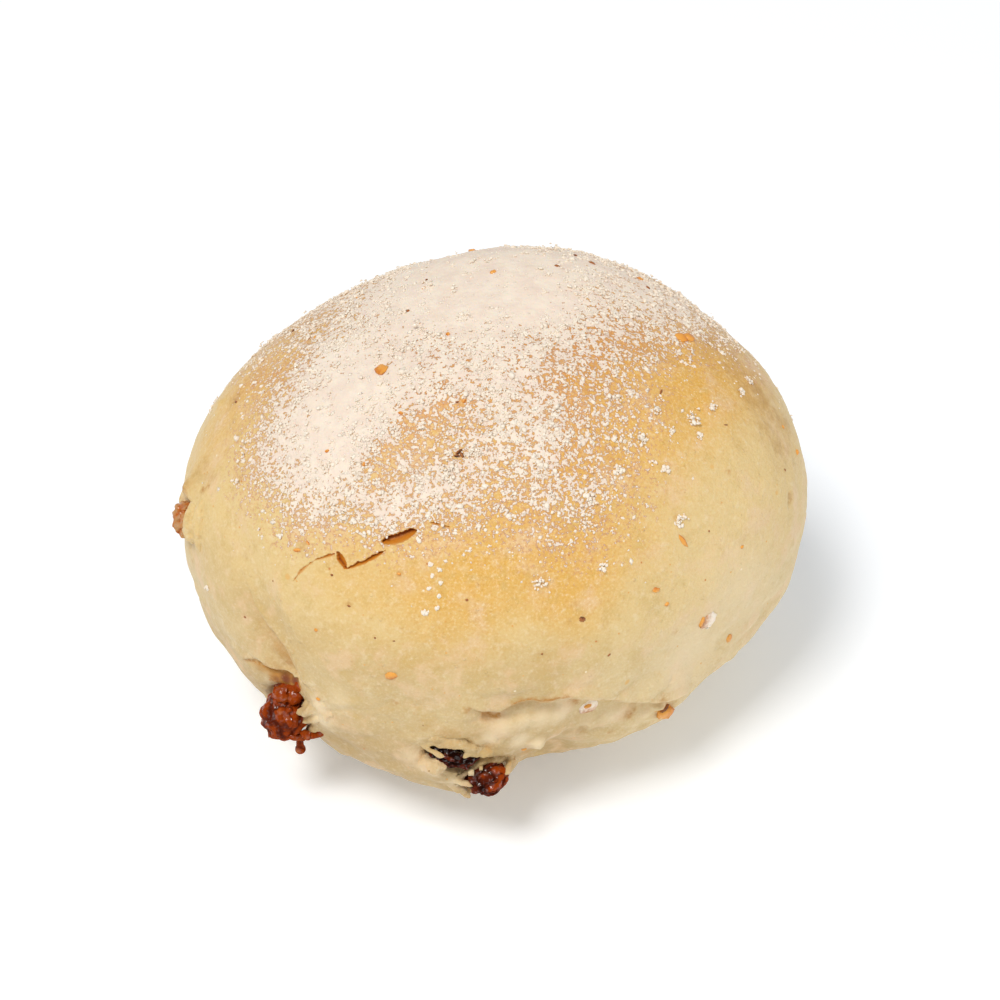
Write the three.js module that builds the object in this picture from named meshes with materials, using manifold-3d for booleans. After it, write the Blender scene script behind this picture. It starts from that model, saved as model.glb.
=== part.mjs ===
// A hand-rounded raisin bun: a pale domed roll on a small flat foot, with a tuck fold along its front,
// a crease and a torn crack in its skin, raisins that break through it, and small bits baked into it.
import * as THREE from "three";
import { mergeVertices } from "three/addons/utils/BufferGeometryUtils.js";
import Module from "manifold-3d";

// Driving dimensions, in millimetres. The frame is +Z up, with the front of the bun towards -Y.
// A place on the skin is a direction from the heart of the bun: [azimuth from +X, elevation], in degrees.
const BUN_HEIGHT = 69.5;
const BELLY_HEIGHT = 31;
// Plan radius at every 45 degrees, from the right side (+X) round by the back (+Y)
const PLAN_RADII = [49.5, 49, 44.5, 46.5, 48, 45.5, 39, 40];
const CROWN_POWER = 2.1;
const FOOT_POWER = 2.0;
const FOOT_DEPTH = 37;
const MEAN_RADIUS = 44;
// Slow waves of dough that was rounded by hand: how often each repeats along x, y and z, and its start
const UNEVENNESS = 0.35;
const WAVES = [
  { repeats: [5.1, 0, 0], start: 1.3 },
  { repeats: [0, 4.3, 3.1], start: 0.4 },
  { repeats: [-3.7, 0, 6.2], start: 2 },
];

// How finely the dough is divided, and how much of that is crowded towards its detailed front
const DOUGH_DETAIL = 20;
const CROWDING = 0.34;
const CROWDED_SIDE = [-105, 5];

const RAISIN_DETAIL = 4;
const POCKET_GAP = 0.35;
// Wrinkles of a raisin: their depth as a share of its radius, how sharp they are, and how often they repeat
const WRINKLE_DEPTH = 0.2;
const WRINKLE_SHARPNESS = 0.6;
const WRINKLES = { first: [5, 0, 3], second: [-3, 4, 0], third: [0, 4, 7] };

// Soft swellings and hollows of the dough
const SWELLINGS = [
  { name: "shoulder at the back", at: [60, 50], reach: 24, rise: 3 },
  { name: "front lobe", at: [-94, -25], reach: 8.5, rise: 4.8 },
  { name: "left of the lobe", at: [-111, -23], reach: 9, rise: 1.8 },
  { name: "undercut beside the lobe", at: [-77, -26], reach: 6, rise: -3 },
  { name: "right foot", at: [-51, -20], reach: 9, rise: 3 },
  { name: "raisin under the left skin", at: [-170, 17.5], reach: 3.5, rise: 1.7 },
  { name: "low end of the crown hollow", at: [-122, 49], reach: 5, rise: -0.8 },
  { name: "middle of the crown hollow", at: [-113, 57], reach: 5, rise: -1.2 },
  { name: "high end of the crown hollow", at: [-102, 65], reach: 4.5, rise: -0.8 },
];

// Folds of the skin: the dough drops away on the right-hand side of each line, walking along it
const FOLDS = [
  {
    name: "tuck along the front",
    line: [[-94, 3], [-82, 4.5], [-68, -3], [-55, -9.5], [-42, -13]],
    drop: 1.8,
    fade: 7,
    lip: 0.6,
  },
  {
    name: "crease on the left",
    line: [[-142, 24], [-139.5, 18], [-136, 13], [-133, 6.5], [-129.5, -1.5], [-128, -12]],
    drop: 2.2,
    fade: 8,
    lip: 0.7,
  },
];
const FOLD_SOFTNESS = 2.4;
const FOLD_END_FADE = 6;
const LIP_WIDTH = 3;

// Torn slits in the skin, each from one place to another, with its width
const SLITS = [
  { from: [-117, 36.2], to: [-110.5, 39.2], width: 1.5 },
  { from: [-124.5, 30], to: [-116.5, 34.5], width: 0.7 },
  { from: [-126.5, 31.5], to: [-124, 29.5], width: 1.3 },
  { from: [-133, 24], to: [-126.8, 31], width: 0.6 },
];
const SLIT_DEPTH = 2.2;
const SLIT_STEPS = 6;

// Raisins: the place and sink of the middle, the radii, and the turn about x, y and z in degrees
const RAISINS = [
  { name: "raisin_left", at: [-136, -14], sink: 0.6, radii: [4.4, 3.8, 5.5], turn: [0, 20, 30] },
  { name: "raisin_front_deep", at: [-98, -12.5], sink: 2, radii: [4.4, 3.2, 3], turn: [0, 25, 0] },
  { name: "raisin_front", at: [-91, -19.5], sink: 1.2, radii: [3.6, 3.2, 2.9], turn: [0, -30, 0] },
  { name: "raisin_side", at: [-168, 12.8], sink: 0.2, radii: [2.4, 2.8, 3.5], turn: [10, 0, 0] },
];
// The drop of syrup under one raisin, with the place of its neck from the middle of that raisin
const DRIP = { raisin: "raisin_left", neckAt: [1.6, -1, -4], length: 3, neck: 0.4, drop: 0.65 };
const DRIP_ROOT = { radius: 0.64, height: 0.6 };
const DRIP_SIDES = 8;
const DRIP_STEPS = 4;

// Bits baked into the skin, each lying half sunk in it
const BITS = [
  { name: "peel on the crown", at: [-161, 65.5], radii: [1.2, 0.9, 0.6] },
  { name: "peel on the right", at: [14.5, 47], radii: [1.4, 0.8, 0.7] },
  { name: "flake on the right", at: [-38.5, 6.5], radii: [0.7, 0.6, 1.1] },
  { name: "flake under the tuck", at: [-69, -4], radii: [1.1, 0.7, 0.8] },
  { name: "raisin bit on the foot", at: [-48, -15], radii: [1.3, 1.2, 1.5] },
  { name: "bead of dough", at: [-79, -19], radii: [1.5, 1.5, 1.8] },
];
const BIT_DETAIL = 1;

const wasm = await Module();
wasm.setup();

const HEART = new THREE.Vector3(0, 0, BELLY_HEIGHT);
const radians = THREE.MathUtils.degToRad;

// The unit vector from the heart to a place on the skin
function toward(azimuth, elevation) {
  const [a, e] = [radians(azimuth), radians(elevation)];
  return new THREE.Vector3(Math.cos(a) * Math.cos(e), Math.sin(a) * Math.cos(e), Math.sin(e));
}

// Catmull-Rom through the plan radii
function planRadius(azimuth) {
  const count = PLAN_RADII.length;
  const at = ((azimuth / (2 * Math.PI)) * count + count) % count;
  const k = Math.floor(at);
  const t = at - k;
  const [a, b, c, d] = [-1, 0, 1, 2].map((step) => PLAN_RADII[(k + step + count) % count]);
  return b + 0.5 * t * (c - a + t * (2 * a - 5 * b + 4 * c - d + t * (3 * (b - c) + d - a)));
}

// The plain dome over an undercut foot
function domeRadius(dir) {
  const rise = dir.z > 0 ? BUN_HEIGHT - BELLY_HEIGHT : FOOT_DEPTH;
  const power = dir.z > 0 ? CROWN_POWER : FOOT_POWER;
  const across = Math.hypot(dir.x, dir.y) / planRadius(Math.atan2(dir.y, dir.x));
  return Math.pow(Math.pow(across, power) + Math.pow(Math.abs(dir.z) / rise, power), -1 / power);
}

function swelling(dir, { at, reach, rise }) {
  const away = (dir.distanceTo(toward(...at)) * MEAN_RADIUS) / reach;
  return rise * Math.exp(-away * away);
}

// A place as flat coordinates on the unrolled skin, in millimetres
function onSkin(azimuth, elevation) {
  const [a, e] = [radians(azimuth), radians(elevation)];
  return new THREE.Vector2(a * Math.cos(e), e).multiplyScalar(MEAN_RADIUS);
}

// How far a skin point lies to the right of a fold's line, and how far along the line from its nearer end
function besideFold(spot, line) {
  const points = line.map(([azimuth, elevation]) => onSkin(azimuth, elevation));
  let nearest = { gap: Infinity };
  let walked = 0;
  for (let i = 0; i + 1 < points.length; i++) {
    const along = points[i + 1].clone().sub(points[i]);
    const from = spot.clone().sub(points[i]);
    const share = THREE.MathUtils.clamp(from.dot(along) / along.lengthSq(), 0, 1);
    const gap = from.clone().addScaledVector(along, -share).length();
    const side = Math.sign(from.cross(along));
    if (gap < nearest.gap) nearest = { gap, side, at: walked + share * along.length() };
    walked += along.length();
  }
  return { right: nearest.gap * nearest.side, end: Math.min(nearest.at, walked - nearest.at) };
}

function foldStep(dir, { line, drop, fade, lip }) {
  const azimuth = THREE.MathUtils.radToDeg(Math.atan2(dir.y, dir.x));
  const spot = onSkin(azimuth, THREE.MathUtils.radToDeg(Math.asin(dir.z)));
  const { right, end } = besideFold(spot, line);
  const fallen = THREE.MathUtils.smoothstep(right, -FOLD_SOFTNESS, FOLD_SOFTNESS);
  const recess = -drop * Math.exp(-Math.pow(Math.max(right, 0) / fade, 2)) * fallen;
  const edge = lip * Math.exp(-Math.pow(right / LIP_WIDTH, 2)) * (1 - fallen);
  return (recess + edge) * THREE.MathUtils.smoothstep(end, 0, FOLD_END_FADE);
}

// A wave over the directions, which repeats as often along x, y and z as it says
function wave(dir, repeats, start) {
  return Math.sin(dir.dot(new THREE.Vector3(...repeats)) + start);
}

function unevenness(dir) {
  return UNEVENNESS * WAVES.reduce((sum, { repeats, start }) => sum + wave(dir, repeats, start), 0);
}

function skinRadius(dir) {
  let r = domeRadius(dir) + unevenness(dir);
  for (const swell of SWELLINGS) r += swelling(dir, swell);
  for (const fold of FOLDS) r += foldStep(dir, fold);
  return r;
}

function skinPoint(dir, sink = 0) {
  return dir.clone().multiplyScalar(skinRadius(dir) - sink).add(HEART);
}

// Turns directions towards one side, so that the facets there are finer and the far ones coarser
function crowded(dir, side) {
  const along = dir.dot(side);
  const across = dir.clone().addScaledVector(side, -along);
  const moved = (along + CROWDING) / (1 + CROWDING * along);
  const width = Math.sqrt(Math.max(0, 1 - moved * moved));
  return across.setLength(across.length() > 0 ? width : 0).addScaledVector(side, moved);
}

// A closed geometry as a solid that can be joined and cut
function solidOf(geometry) {
  const bare = geometry.clone();
  bare.deleteAttribute("normal");
  bare.deleteAttribute("uv");
  const merged = mergeVertices(bare, 1e-4);
  return new wasm.Manifold(
    new wasm.Mesh({
      numProp: 3,
      vertProperties: new Float32Array(merged.getAttribute("position").array),
      triVerts: new Uint32Array(merged.index.array),
    }),
  );
}

function geometryOf(solid) {
  const { vertProperties, triVerts } = solid.getMesh();
  const geometry = new THREE.BufferGeometry();
  geometry.setAttribute("position", new THREE.BufferAttribute(new Float32Array(vertProperties), 3));
  geometry.setIndex(new THREE.BufferAttribute(new Uint32Array(triVerts), 1));
  geometry.computeVertexNormals();
  return geometry;
}

// A ball whose points are moved by a function of their direction
function shapedBall(detail, shape) {
  const facets = new THREE.IcosahedronGeometry(1, detail).deleteAttribute("uv").deleteAttribute("normal");
  const ball = mergeVertices(facets);
  const place = ball.getAttribute("position");
  const dir = new THREE.Vector3();
  for (let i = 0; i < place.count; i++) {
    const moved = shape(dir.fromBufferAttribute(place, i).normalize());
    place.setXYZ(i, moved.x, moved.y, moved.z);
  }
  return ball;
}

function doughBall() {
  const side = toward(...CROWDED_SIDE);
  return shapedBall(DOUGH_DETAIL, (dir) => skinPoint(crowded(dir, side)));
}

// The block that cuts the foot flat at the height of the table
function tableBlock() {
  const size = 4 * BUN_HEIGHT;
  return new THREE.BoxGeometry(size, size, size).translate(0, 0, -size / 2);
}

// A lens-shaped cutter that follows the skin from one place to another
function slitCutter({ from, to, width }) {
  const [start, end] = [skinPoint(toward(...from)), skinPoint(toward(...to))];
  const length = start.distanceTo(end);
  const lens = new THREE.Shape();
  lens.moveTo(-length / 2, 0);
  lens.quadraticCurveTo(0, -width, length / 2, 0);
  lens.quadraticCurveTo(0, width, -length / 2, 0);
  const depth = 2 * SLIT_DEPTH;
  const cutter = new THREE.ExtrudeGeometry(lens, { depth, bevelEnabled: false, curveSegments: SLIT_STEPS });
  const middle = start.clone().add(end).multiplyScalar(0.5);
  const outward = middle.clone().sub(HEART).normalize();
  const along = end.clone().sub(start).normalize();
  const across = outward.clone().cross(along).normalize();
  const facing = new THREE.Matrix4().makeBasis(along, across, along.clone().cross(across));
  return cutter.translate(0, 0, -SLIT_DEPTH).applyMatrix4(facing.setPosition(middle));
}

// The shrivelled skin of a raisin, as a share of its full radius
function shrivel(dir, seed) {
  const { first, second, third } = WRINKLES;
  const folds = wave(dir, first, seed) * wave(dir, second, 2 * seed) + wave(dir, third, -seed);
  return 1 - WRINKLE_DEPTH * Math.pow(Math.abs(folds) / 2, WRINKLE_SHARPNESS);
}

function raisinMiddle({ at, sink }) {
  return skinPoint(toward(...at), sink);
}

function placedRaisin(geometry, raisin) {
  const turned = new THREE.Matrix4().makeRotationFromEuler(new THREE.Euler(...raisin.turn.map(radians)));
  return geometry.applyMatrix4(turned.setPosition(raisinMiddle(raisin)));
}

function raisinGeometry(raisin, seed) {
  const scale = new THREE.Vector3(...raisin.radii);
  const shrivelled = (dir) => dir.clone().multiply(scale).multiplyScalar(shrivel(dir, seed));
  return placedRaisin(shapedBall(RAISIN_DETAIL, shrivelled), raisin);
}

// The unwrinkled room that a raisin takes in the dough
function pocketGeometry(raisin) {
  const scale = new THREE.Vector3(...raisin.radii).addScalar(POCKET_GAP);
  return placedRaisin(shapedBall(RAISIN_DETAIL, (dir) => dir.clone().multiply(scale)), raisin);
}

// The drop of raisin syrup, which hangs on a short neck
function dripGeometry(middle) {
  const { neckAt, length, neck, drop } = DRIP;
  const profile = new THREE.Path();
  profile.moveTo(0, -length - drop);
  profile.absarc(0, -length, drop, -Math.PI / 2, Math.PI / 4);
  profile.quadraticCurveTo(neck, drop - length, neck, -length / 2);
  profile.lineTo(DRIP_ROOT.radius, DRIP_ROOT.height);
  profile.lineTo(0, DRIP_ROOT.height);
  const hanging = new THREE.LatheGeometry(profile.getPoints(DRIP_STEPS), DRIP_SIDES).rotateX(Math.PI / 2);
  return hanging.translate(...middle.clone().add(new THREE.Vector3(...neckAt)));
}

function bitGeometry({ at, radii }) {
  const scale = new THREE.Vector3(...radii);
  const place = skinPoint(toward(...at));
  return shapedBall(BIT_DETAIL, (dir) => dir.clone().multiply(scale).add(place));
}

function namedMesh(name, geometry, look) {
  const mesh = new THREE.Mesh(geometry, new THREE.MeshStandardMaterial({ metalness: 0, ...look }));
  mesh.name = name;
  return mesh;
}

function makeBun() {
  let dough = solidOf(doughBall()).subtract(solidOf(tableBlock()));
  for (const bit of BITS) dough = dough.add(solidOf(bitGeometry(bit)));
  for (const slit of SLITS) dough = dough.subtract(solidOf(slitCutter(slit)));
  for (const raisin of RAISINS) dough = dough.subtract(solidOf(pocketGeometry(raisin)));
  return namedMesh("bun", geometryOf(dough), { color: 0xe4c896, roughness: 0.75 });
}

function makeRaisin(raisin, seed) {
  let flesh = solidOf(raisinGeometry(raisin, seed));
  if (raisin.name === DRIP.raisin) flesh = flesh.add(solidOf(dripGeometry(raisinMiddle(raisin))));
  return namedMesh(raisin.name, geometryOf(flesh), { color: 0x6b2d14, roughness: 0.35 });
}

// Sets the origin at the middle of the footprint's box, on the table
function centred(pieces) {
  const bun = new THREE.Group();
  bun.add(...pieces);
  const middle = new THREE.Box3().setFromObject(bun).getCenter(new THREE.Vector3());
  bun.position.set(-middle.x, -middle.y, 0);
  return new THREE.Group().add(bun);
}

export default centred([makeBun(), ...RAISINS.map(makeRaisin)]);
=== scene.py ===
"""A raisin bun, dusted with flour, on a pale floor: an add-on layout that is run as a script."""

import math

import bmesh
import bpy
import numpy as np
from bpy.props import FloatProperty, FloatVectorProperty, IntProperty, PointerProperty
from mathutils import Matrix, Vector, noise
from mathutils.bvhtree import BVHTree


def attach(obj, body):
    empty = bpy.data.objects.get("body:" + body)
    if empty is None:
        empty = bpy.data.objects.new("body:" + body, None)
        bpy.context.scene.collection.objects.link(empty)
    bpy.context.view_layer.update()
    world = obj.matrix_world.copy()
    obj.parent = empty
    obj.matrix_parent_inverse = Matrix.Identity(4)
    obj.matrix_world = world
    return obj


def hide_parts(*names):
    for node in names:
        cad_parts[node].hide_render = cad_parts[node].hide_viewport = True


bl_info = {
    "name": "Raisin Bun",
    "version": (1, 0, 0),
    "blender": (4, 5, 0),
    "location": "View3D > Sidebar > Bun",
    "description": "Bakes a flour-dusted raisin bun round its solid frame",
    "category": "Object",
}

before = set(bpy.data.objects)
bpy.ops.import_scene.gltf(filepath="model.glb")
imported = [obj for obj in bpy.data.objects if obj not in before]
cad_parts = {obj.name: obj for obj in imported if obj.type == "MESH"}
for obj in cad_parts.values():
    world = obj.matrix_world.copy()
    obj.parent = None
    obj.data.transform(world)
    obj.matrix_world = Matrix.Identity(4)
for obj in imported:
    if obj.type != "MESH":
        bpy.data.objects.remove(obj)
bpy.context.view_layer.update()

MM = 0.001
PHOTO_SIZE = 1000
BODY = "root"
# Each raisin's node, and how light its skin is
RAISINS = {"raisin_left": 0.6, "raisin_front_deep": 0.13, "raisin_front": 0.42, "raisin_side": 1.4}
# The raisin whose lowest end is a smooth drop
DRIPPING = "raisin_left"


def srgb(red, green, blue):
    """A screen colour from 0 to 255 as a linear colour."""
    def channel(value):
        share = value / 255
        return share / 12.92 if share <= 0.04045 else ((share + 0.055) / 1.055) ** 2.4
    return channel(red), channel(green), channel(blue)


# Tones of the crust beside its main colours
# The foot tone below is a painted shade on the low sides
FOOT_SHADE_TONE = srgb(186, 155, 103)
DULL_TONE = srgb(208, 178, 112)
LIGHT_TONE = srgb(246, 230, 196)
ROSY_TONE = srgb(232, 198, 156)
DARK_GRIT = srgb(208, 146, 62)
LIGHT_GRIT = srgb(248, 230, 192)
# The creamy tone below is creamy dough, and also painted light on a shaded side
CREAMY_AND_LIT_TONE = srgb(238, 216, 176)
SHADE_TONE = srgb(184, 134, 62)
# The two stain tones below are stains and partly painted shade; the darker one marks the strongest
STAIN_AND_SHADE_TONE = srgb(186, 130, 56)
DARK_STAIN_AND_SHADE = srgb(122, 60, 20)
# The deep tear tone below is a painted shade inside the tears
TEAR_SHADE = srgb(146, 70, 8)
# The flour rim tone below is browned crust and a painted contact shadow round the flour
FLOUR_RIM_BROWN_AND_SHADE = srgb(204, 132, 54)
DULL_FLOUR = srgb(238, 219, 201)
LOOSE_FLOUR = srgb(250, 240, 223)
# Specks in the crust: spacing and radius, share of the cells that hold one, and colour
SPECKS = [
    (1.9 * MM, 0.16 * MM, 0.35, srgb(222, 164, 84)),
    (3.4 * MM, 0.2 * MM, 0.25, srgb(204, 132, 58)),
    (5.5 * MM, 0.13 * MM, 0.3, srgb(150, 98, 46)),
    (6.0 * MM, 0.5 * MM, 0.3, srgb(224, 180, 106)),
    (2.6 * MM, 0.2 * MM, 0.1, srgb(244, 228, 194)),
]

# Seeds of the random draws, and the step between the seeds of smooth noise
BITS_SEED = 11
FLOUR_SEED = 7
NOISE_STEP = (17.3, 5.1, 9.7)
# How far the skin round the solid's own crease is smoothed, and how often
CREASE_REACH = 5 * MM
CREASE_ROUNDS = 60
# How far the skin is divided beside all lines, then beside folds and tears, then beside tears alone
LINE_REACH, FOLD_REACH, TEAR_REACH = 3.2 * MM, 1.4 * MM, 1.0 * MM
# Strands of dough: sides of a ring, rings between two pixels, and size of the faces when they are joined
STRAND_SIDES = 10
STRAND_RINGS = 6
SHRED_VOXEL = 0.16 * MM
# How far a strand or a cover lies above what it crosses, or sinks in the dough, as shares of its radius,
# and how uneven it is
STRAND_LIFT, STRAND_SINK, STRAND_UNEVENNESS = 0.1, 0.62, 0.4
COVER_LIFT, COVER_UNEVENNESS = -0.28, 0.15
# Where the back of the bun begins, and how high above the floor bits are set there
BACK_FROM = 12 * MM
BACK_ABOVE = 8 * MM

# Places and sizes of the lights, and the point they aim at, in metres
KEY_PLACE, KEY_SIZE = (-0.44, -0.52, 1.44), 0.5
FILL_PLACE, FILL_SIZE = (1.55, -0.4, 0.305), 1.5
SPARK_PLACE, SPARK_SIZE = (-0.3, -0.62, 0.2), 0.06
LIGHT_AIM = (0, 0, 0.03)
LIGHT_COLOUR = (1.0, 0.98, 0.955)
SKY_COLOUR = (0.98, 0.99, 1.015, 1)
GLOW_COLOUR = (0.75, 0.88, 1, 1)
FLOOR_HALF = 2

# Lines and spots that follow the photograph are pixels of its frame, laid on the bun by a ray.
# The dough drops to the right of a fold's course: below the tuck and the small crease,
# and left of the long crease.
# Each fold has its course, then its drop, the reach of the drop and the height of its lip in millimetres,
# and the shares of the course over which it fades in and out.
FOLDS = [
    ([(466, 706), (476, 710), (488, 713), (500, 711), (511, 706), (521, 701), (531, 699), (541, 701),
      (551, 700), (560, 698), (569, 697), (578, 698), (590, 698), (604, 699), (619, 700), (636, 702),
      (658, 702), (672, 699), (684, 695), (696, 689)], 1.9, 2.6, 0.5, 0.12, 0.1),
    ([(240, 558), (244, 575), (250, 592), (258, 610), (266, 621), (275, 632), (283, 642), (290, 653),
      (296, 665), (300, 676), (302, 684)], 2.2, 3.2, 0.5, 0.5, 0.06),
    ([(236, 657), (249, 660), (259, 662), (270, 667), (280, 671), (291, 676),
      (298, 680)], 1.2, 1.6, 0.3, 0.35, 0.08),
]
# The course of the solid's own crease, which is smoothed before the folds are made
OLD_CREASE = [(252, 563), (259, 582), (268, 606), (275, 621), (281, 636), (287, 648), (292, 660), (297, 672)]
# Raised lines of stretched skin: course, half width and height in millimetres
RIDGES = [
    ([(430, 552), (431, 572), (430, 596)], 0.5, 0.2),
    ([(441, 556), (441, 576), (438, 600)], 0.5, 0.25),
    ([(439, 586), (436, 604), (432, 620), (425, 638), (417, 654)], 0.7, 0.28),
    ([(325, 704), (346, 702), (367, 703)], 0.7, 0.25),
    ([(584, 719), (590, 726), (592, 736)], 0.5, 0.4),
    ([(459, 420), (450, 436), (436, 452), (420, 468)], 1.1, 0.35),
]
# Tears of the skin: course, greatest half width and depth in millimetres; each is deepest on its left, where a
# painted shade darkens it
TEARS = [
    ([(294, 581), (300, 573), (307, 566), (315, 560)], 0.2, 0.3),
    ([(315, 560), (325, 557), (335, 554)], 0.16, 0.45),
    ([(347, 569), (341, 559), (337, 551)], 0.5, 0.9),
    ([(346, 569), (356, 565), (367, 561), (376, 556), (386, 550)], 0.3, 0.75),
    ([(382, 542), (391, 540), (399, 538), (408, 534), (417, 530)], 0.72, 1.1),
    ([(431, 523), (440, 525), (449, 527)], 0.14, 0.4),
]
# Small swellings and dents: pixel, reach and rise in millimetres
DIMPLES = [
    ((221, 404), 0.8, 0.6), ((207, 588), 0.9, 0.35), ((568, 734), 1.0, -0.7), ((582, 731), 0.7, -0.5),
    ((488, 715), 1.0, -0.8), ((399, 574), 0.7, 0.25), ((349, 605), 0.7, -0.3), ((188, 487), 1.3, 0.7),
    ((184, 500), 1.6, 0.8), ((790, 504), 0.8, -0.45), ((790, 493), 0.7, -0.4), ((540, 718), 2.4, 0.5),
    ((505, 726), 2.4, 0.5), ((486, 747), 0.9, -0.5), ((560, 716), 1.6, 0.5), ((610, 716), 2.0, 0.45),
    ((380, 660), 3.0, 0.3), ((330, 650), 3.2, 0.3), ((285, 676), 1.8, -0.6), ((628, 716), 0.8, -0.6),
    ((634, 709), 0.7, -0.4), ((650, 716), 1.4, 0.4), ((528, 734), 1.4, -0.5), ((556, 732), 1.3, 0.5),
    ((664, 711), 1.2, 0.7), ((442, 739), 1.8, -0.3), ((456, 742), 1.6, -0.25), ((430, 728), 2.2, 0.4),
    ((468, 728), 2.4, 0.4), ((538, 744), 1.1, 1.3), ((648, 735), 3.0, -1.0), ((462, 801), 2.4, -1.6),
    ((446, 797), 2.4, -1.0), ((335, 747), 3.0, -1.2),
]
# Where the foot is drawn in at the front: plan place across, half width and depth in millimetres
FOOT_CUTS = [(6, 8, 3.0), (25, 7, 1.2)]
# Stained places, some of them painted shade, the strongest above the left raisin: pixel, reach in millimetres
# and strength
STAINS_AND_SHADE = [
    ((728, 472), 0.8, 0.5), ((721, 501), 0.7, 0.3), ((606, 625), 1.2, 0.35), ((570, 622), 0.9, 0.4),
    ((675, 632), 0.8, 0.5), ((790, 498), 1.2, 0.6), ((410, 683), 1.3, 0.25), ((395, 703), 0.8, 0.5),
    ((364, 747), 1.0, 0.4), ((468, 710), 0.9, 0.6), ((303, 547), 1.4, 0.5), ((512, 703), 0.7, 0.4),
    ((521, 700), 0.7, 0.5), ((533, 699), 0.8, 0.5), ((556, 699), 0.8, 0.5), ((566, 697), 0.8, 0.5),
    ((203, 490), 0.7, 0.8), ((208, 486), 0.6, 0.7), ((183, 488), 1.7, 0.6), ((180, 500), 1.2, 0.4),
    ((352, 558), 1.2, 0.35), ((246, 557), 0.9, 0.4), ((192, 561), 0.6, 0.6), ((245, 616), 0.6, 0.6),
    ((391, 676), 1.0, 0.6), ((576, 701), 0.9, 0.6), ((546, 702), 1.1, 0.5), ((490, 746), 1.4, 0.45),
    ((629, 715), 0.8, 0.7), ((634, 709), 0.7, 0.5), ((664, 711), 2.0, 0.6), ((577, 702), 1.0, 0.6),
    ((583, 731), 1.2, 0.35), ((610, 732), 0.5, 0.7), ((399, 574), 0.8, 0.35), ((349, 605), 0.8, 0.5),
    ((235, 400), 1.8, 0.6), ((232, 425), 1.6, 0.4), ((268, 666), 1.8, 0.4), ((279, 671), 2.0, 0.7),
    ((277, 679), 1.4, 1.2), ((286, 679), 1.7, 1.5), ((295, 681), 1.5, 1.5), ((290, 673), 1.6, 0.9),
    ((484, 712), 0.8, 0.6), ((540, 654), 0.5, 0.5), ((620, 655), 1.4, 0.2), ((663, 700), 1.6, 0.5),
]

# Stained lines, most of them painted shade along the tuck's lip and the creases: course, half width in
# millimetres and strength
SEAM_STAINS_AND_SHADE = [
    ([(504, 710), (512, 705), (521, 701), (531, 699), (541, 701), (551, 700), (560, 698), (569, 697),
      (579, 698)], 0.35, 0.8),
    ([(594, 699), (606, 700), (619, 701), (634, 703)], 0.25, 0.45),
    ([(236, 657), (249, 660), (261, 664), (273, 669), (286, 675)], 0.45, 0.65),
    ([(262, 614), (270, 627), (279, 638), (288, 650), (295, 664), (300, 677)], 0.4, 0.35),
    ([(636, 733), (643, 730), (651, 726)], 0.4, 0.6),
    ([(483, 710), (489, 714), (496, 716), (503, 713)], 0.4, 0.9),
]

# Painted shade: places under overhangs and in creases, and broad patches on the right and left edges that turn
# from the light: pixel, reach in millimetres and strength
SHADES = [
    ((432, 733), 2.8, 0.4), ((442, 735), 3.0, 0.55), ((452, 740), 2.4, 0.7), ((462, 743), 1.8, 0.7),
    ((436, 744), 1.0, 0.9), ((262, 667), 1.6, 0.8), ((272, 670), 1.8, 1.0), ((284, 676), 2.0, 1.0),
    ((294, 680), 1.6, 1.0), ((487, 715), 1.3, 0.9), ((573, 700), 1.0, 0.7), ((526, 752), 1.2, 0.6),
    ((262, 618), 1.8, 0.4), ((269, 632), 2.2, 0.55), ((279, 646), 2.4, 0.7), ((288, 660), 2.2, 0.8),
    ((278, 662), 2.4, 0.5), ((476, 736), 1.4, 0.4), ((547, 699), 1.2, 0.5), ((520, 701), 1.0, 0.4),
    ((440, 449), 2.4, 0.35), ((752, 385), 8.0, 0.65), ((774, 425), 8.0, 0.6), ((724, 352), 7.0, 0.6),
    ((200, 478), 5.0, 0.45),
]

# Places where the stretched dough is creamy, and two broad patches of painted light on the shaded lower right:
# pixel, reach in millimetres and strength
CREAMY_AND_LIT = [
    ((505, 727), 2.6, 0.6), ((525, 722), 2.4, 0.6), ((542, 718), 2.6, 0.7), ((561, 713), 2.2, 0.8),
    ((520, 740), 1.8, 0.9), ((538, 746), 1.5, 1.0), ((490, 738), 2.0, 0.7), ((432, 765), 2.4, 1.0),
    ((500, 757), 2.0, 0.9), ((482, 761), 1.6, 0.9), ((470, 770), 1.2, 0.8), ((455, 783), 2.0, 0.7),
    ((320, 706), 2.2, 0.8), ((322, 720), 2.2, 0.9), ((308, 714), 1.8, 0.9), ((340, 704), 2.4, 0.5),
    ((612, 715), 2.4, 0.5), ((646, 713), 2.0, 0.5), ((410, 757), 2.0, 0.6), ((588, 722), 1.6, 0.5),
    # The last two are painted light on the lower right, which lies in shade
    ((740, 590), 11.0, 0.55), ((690, 650), 10.0, 0.6),
]

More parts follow.
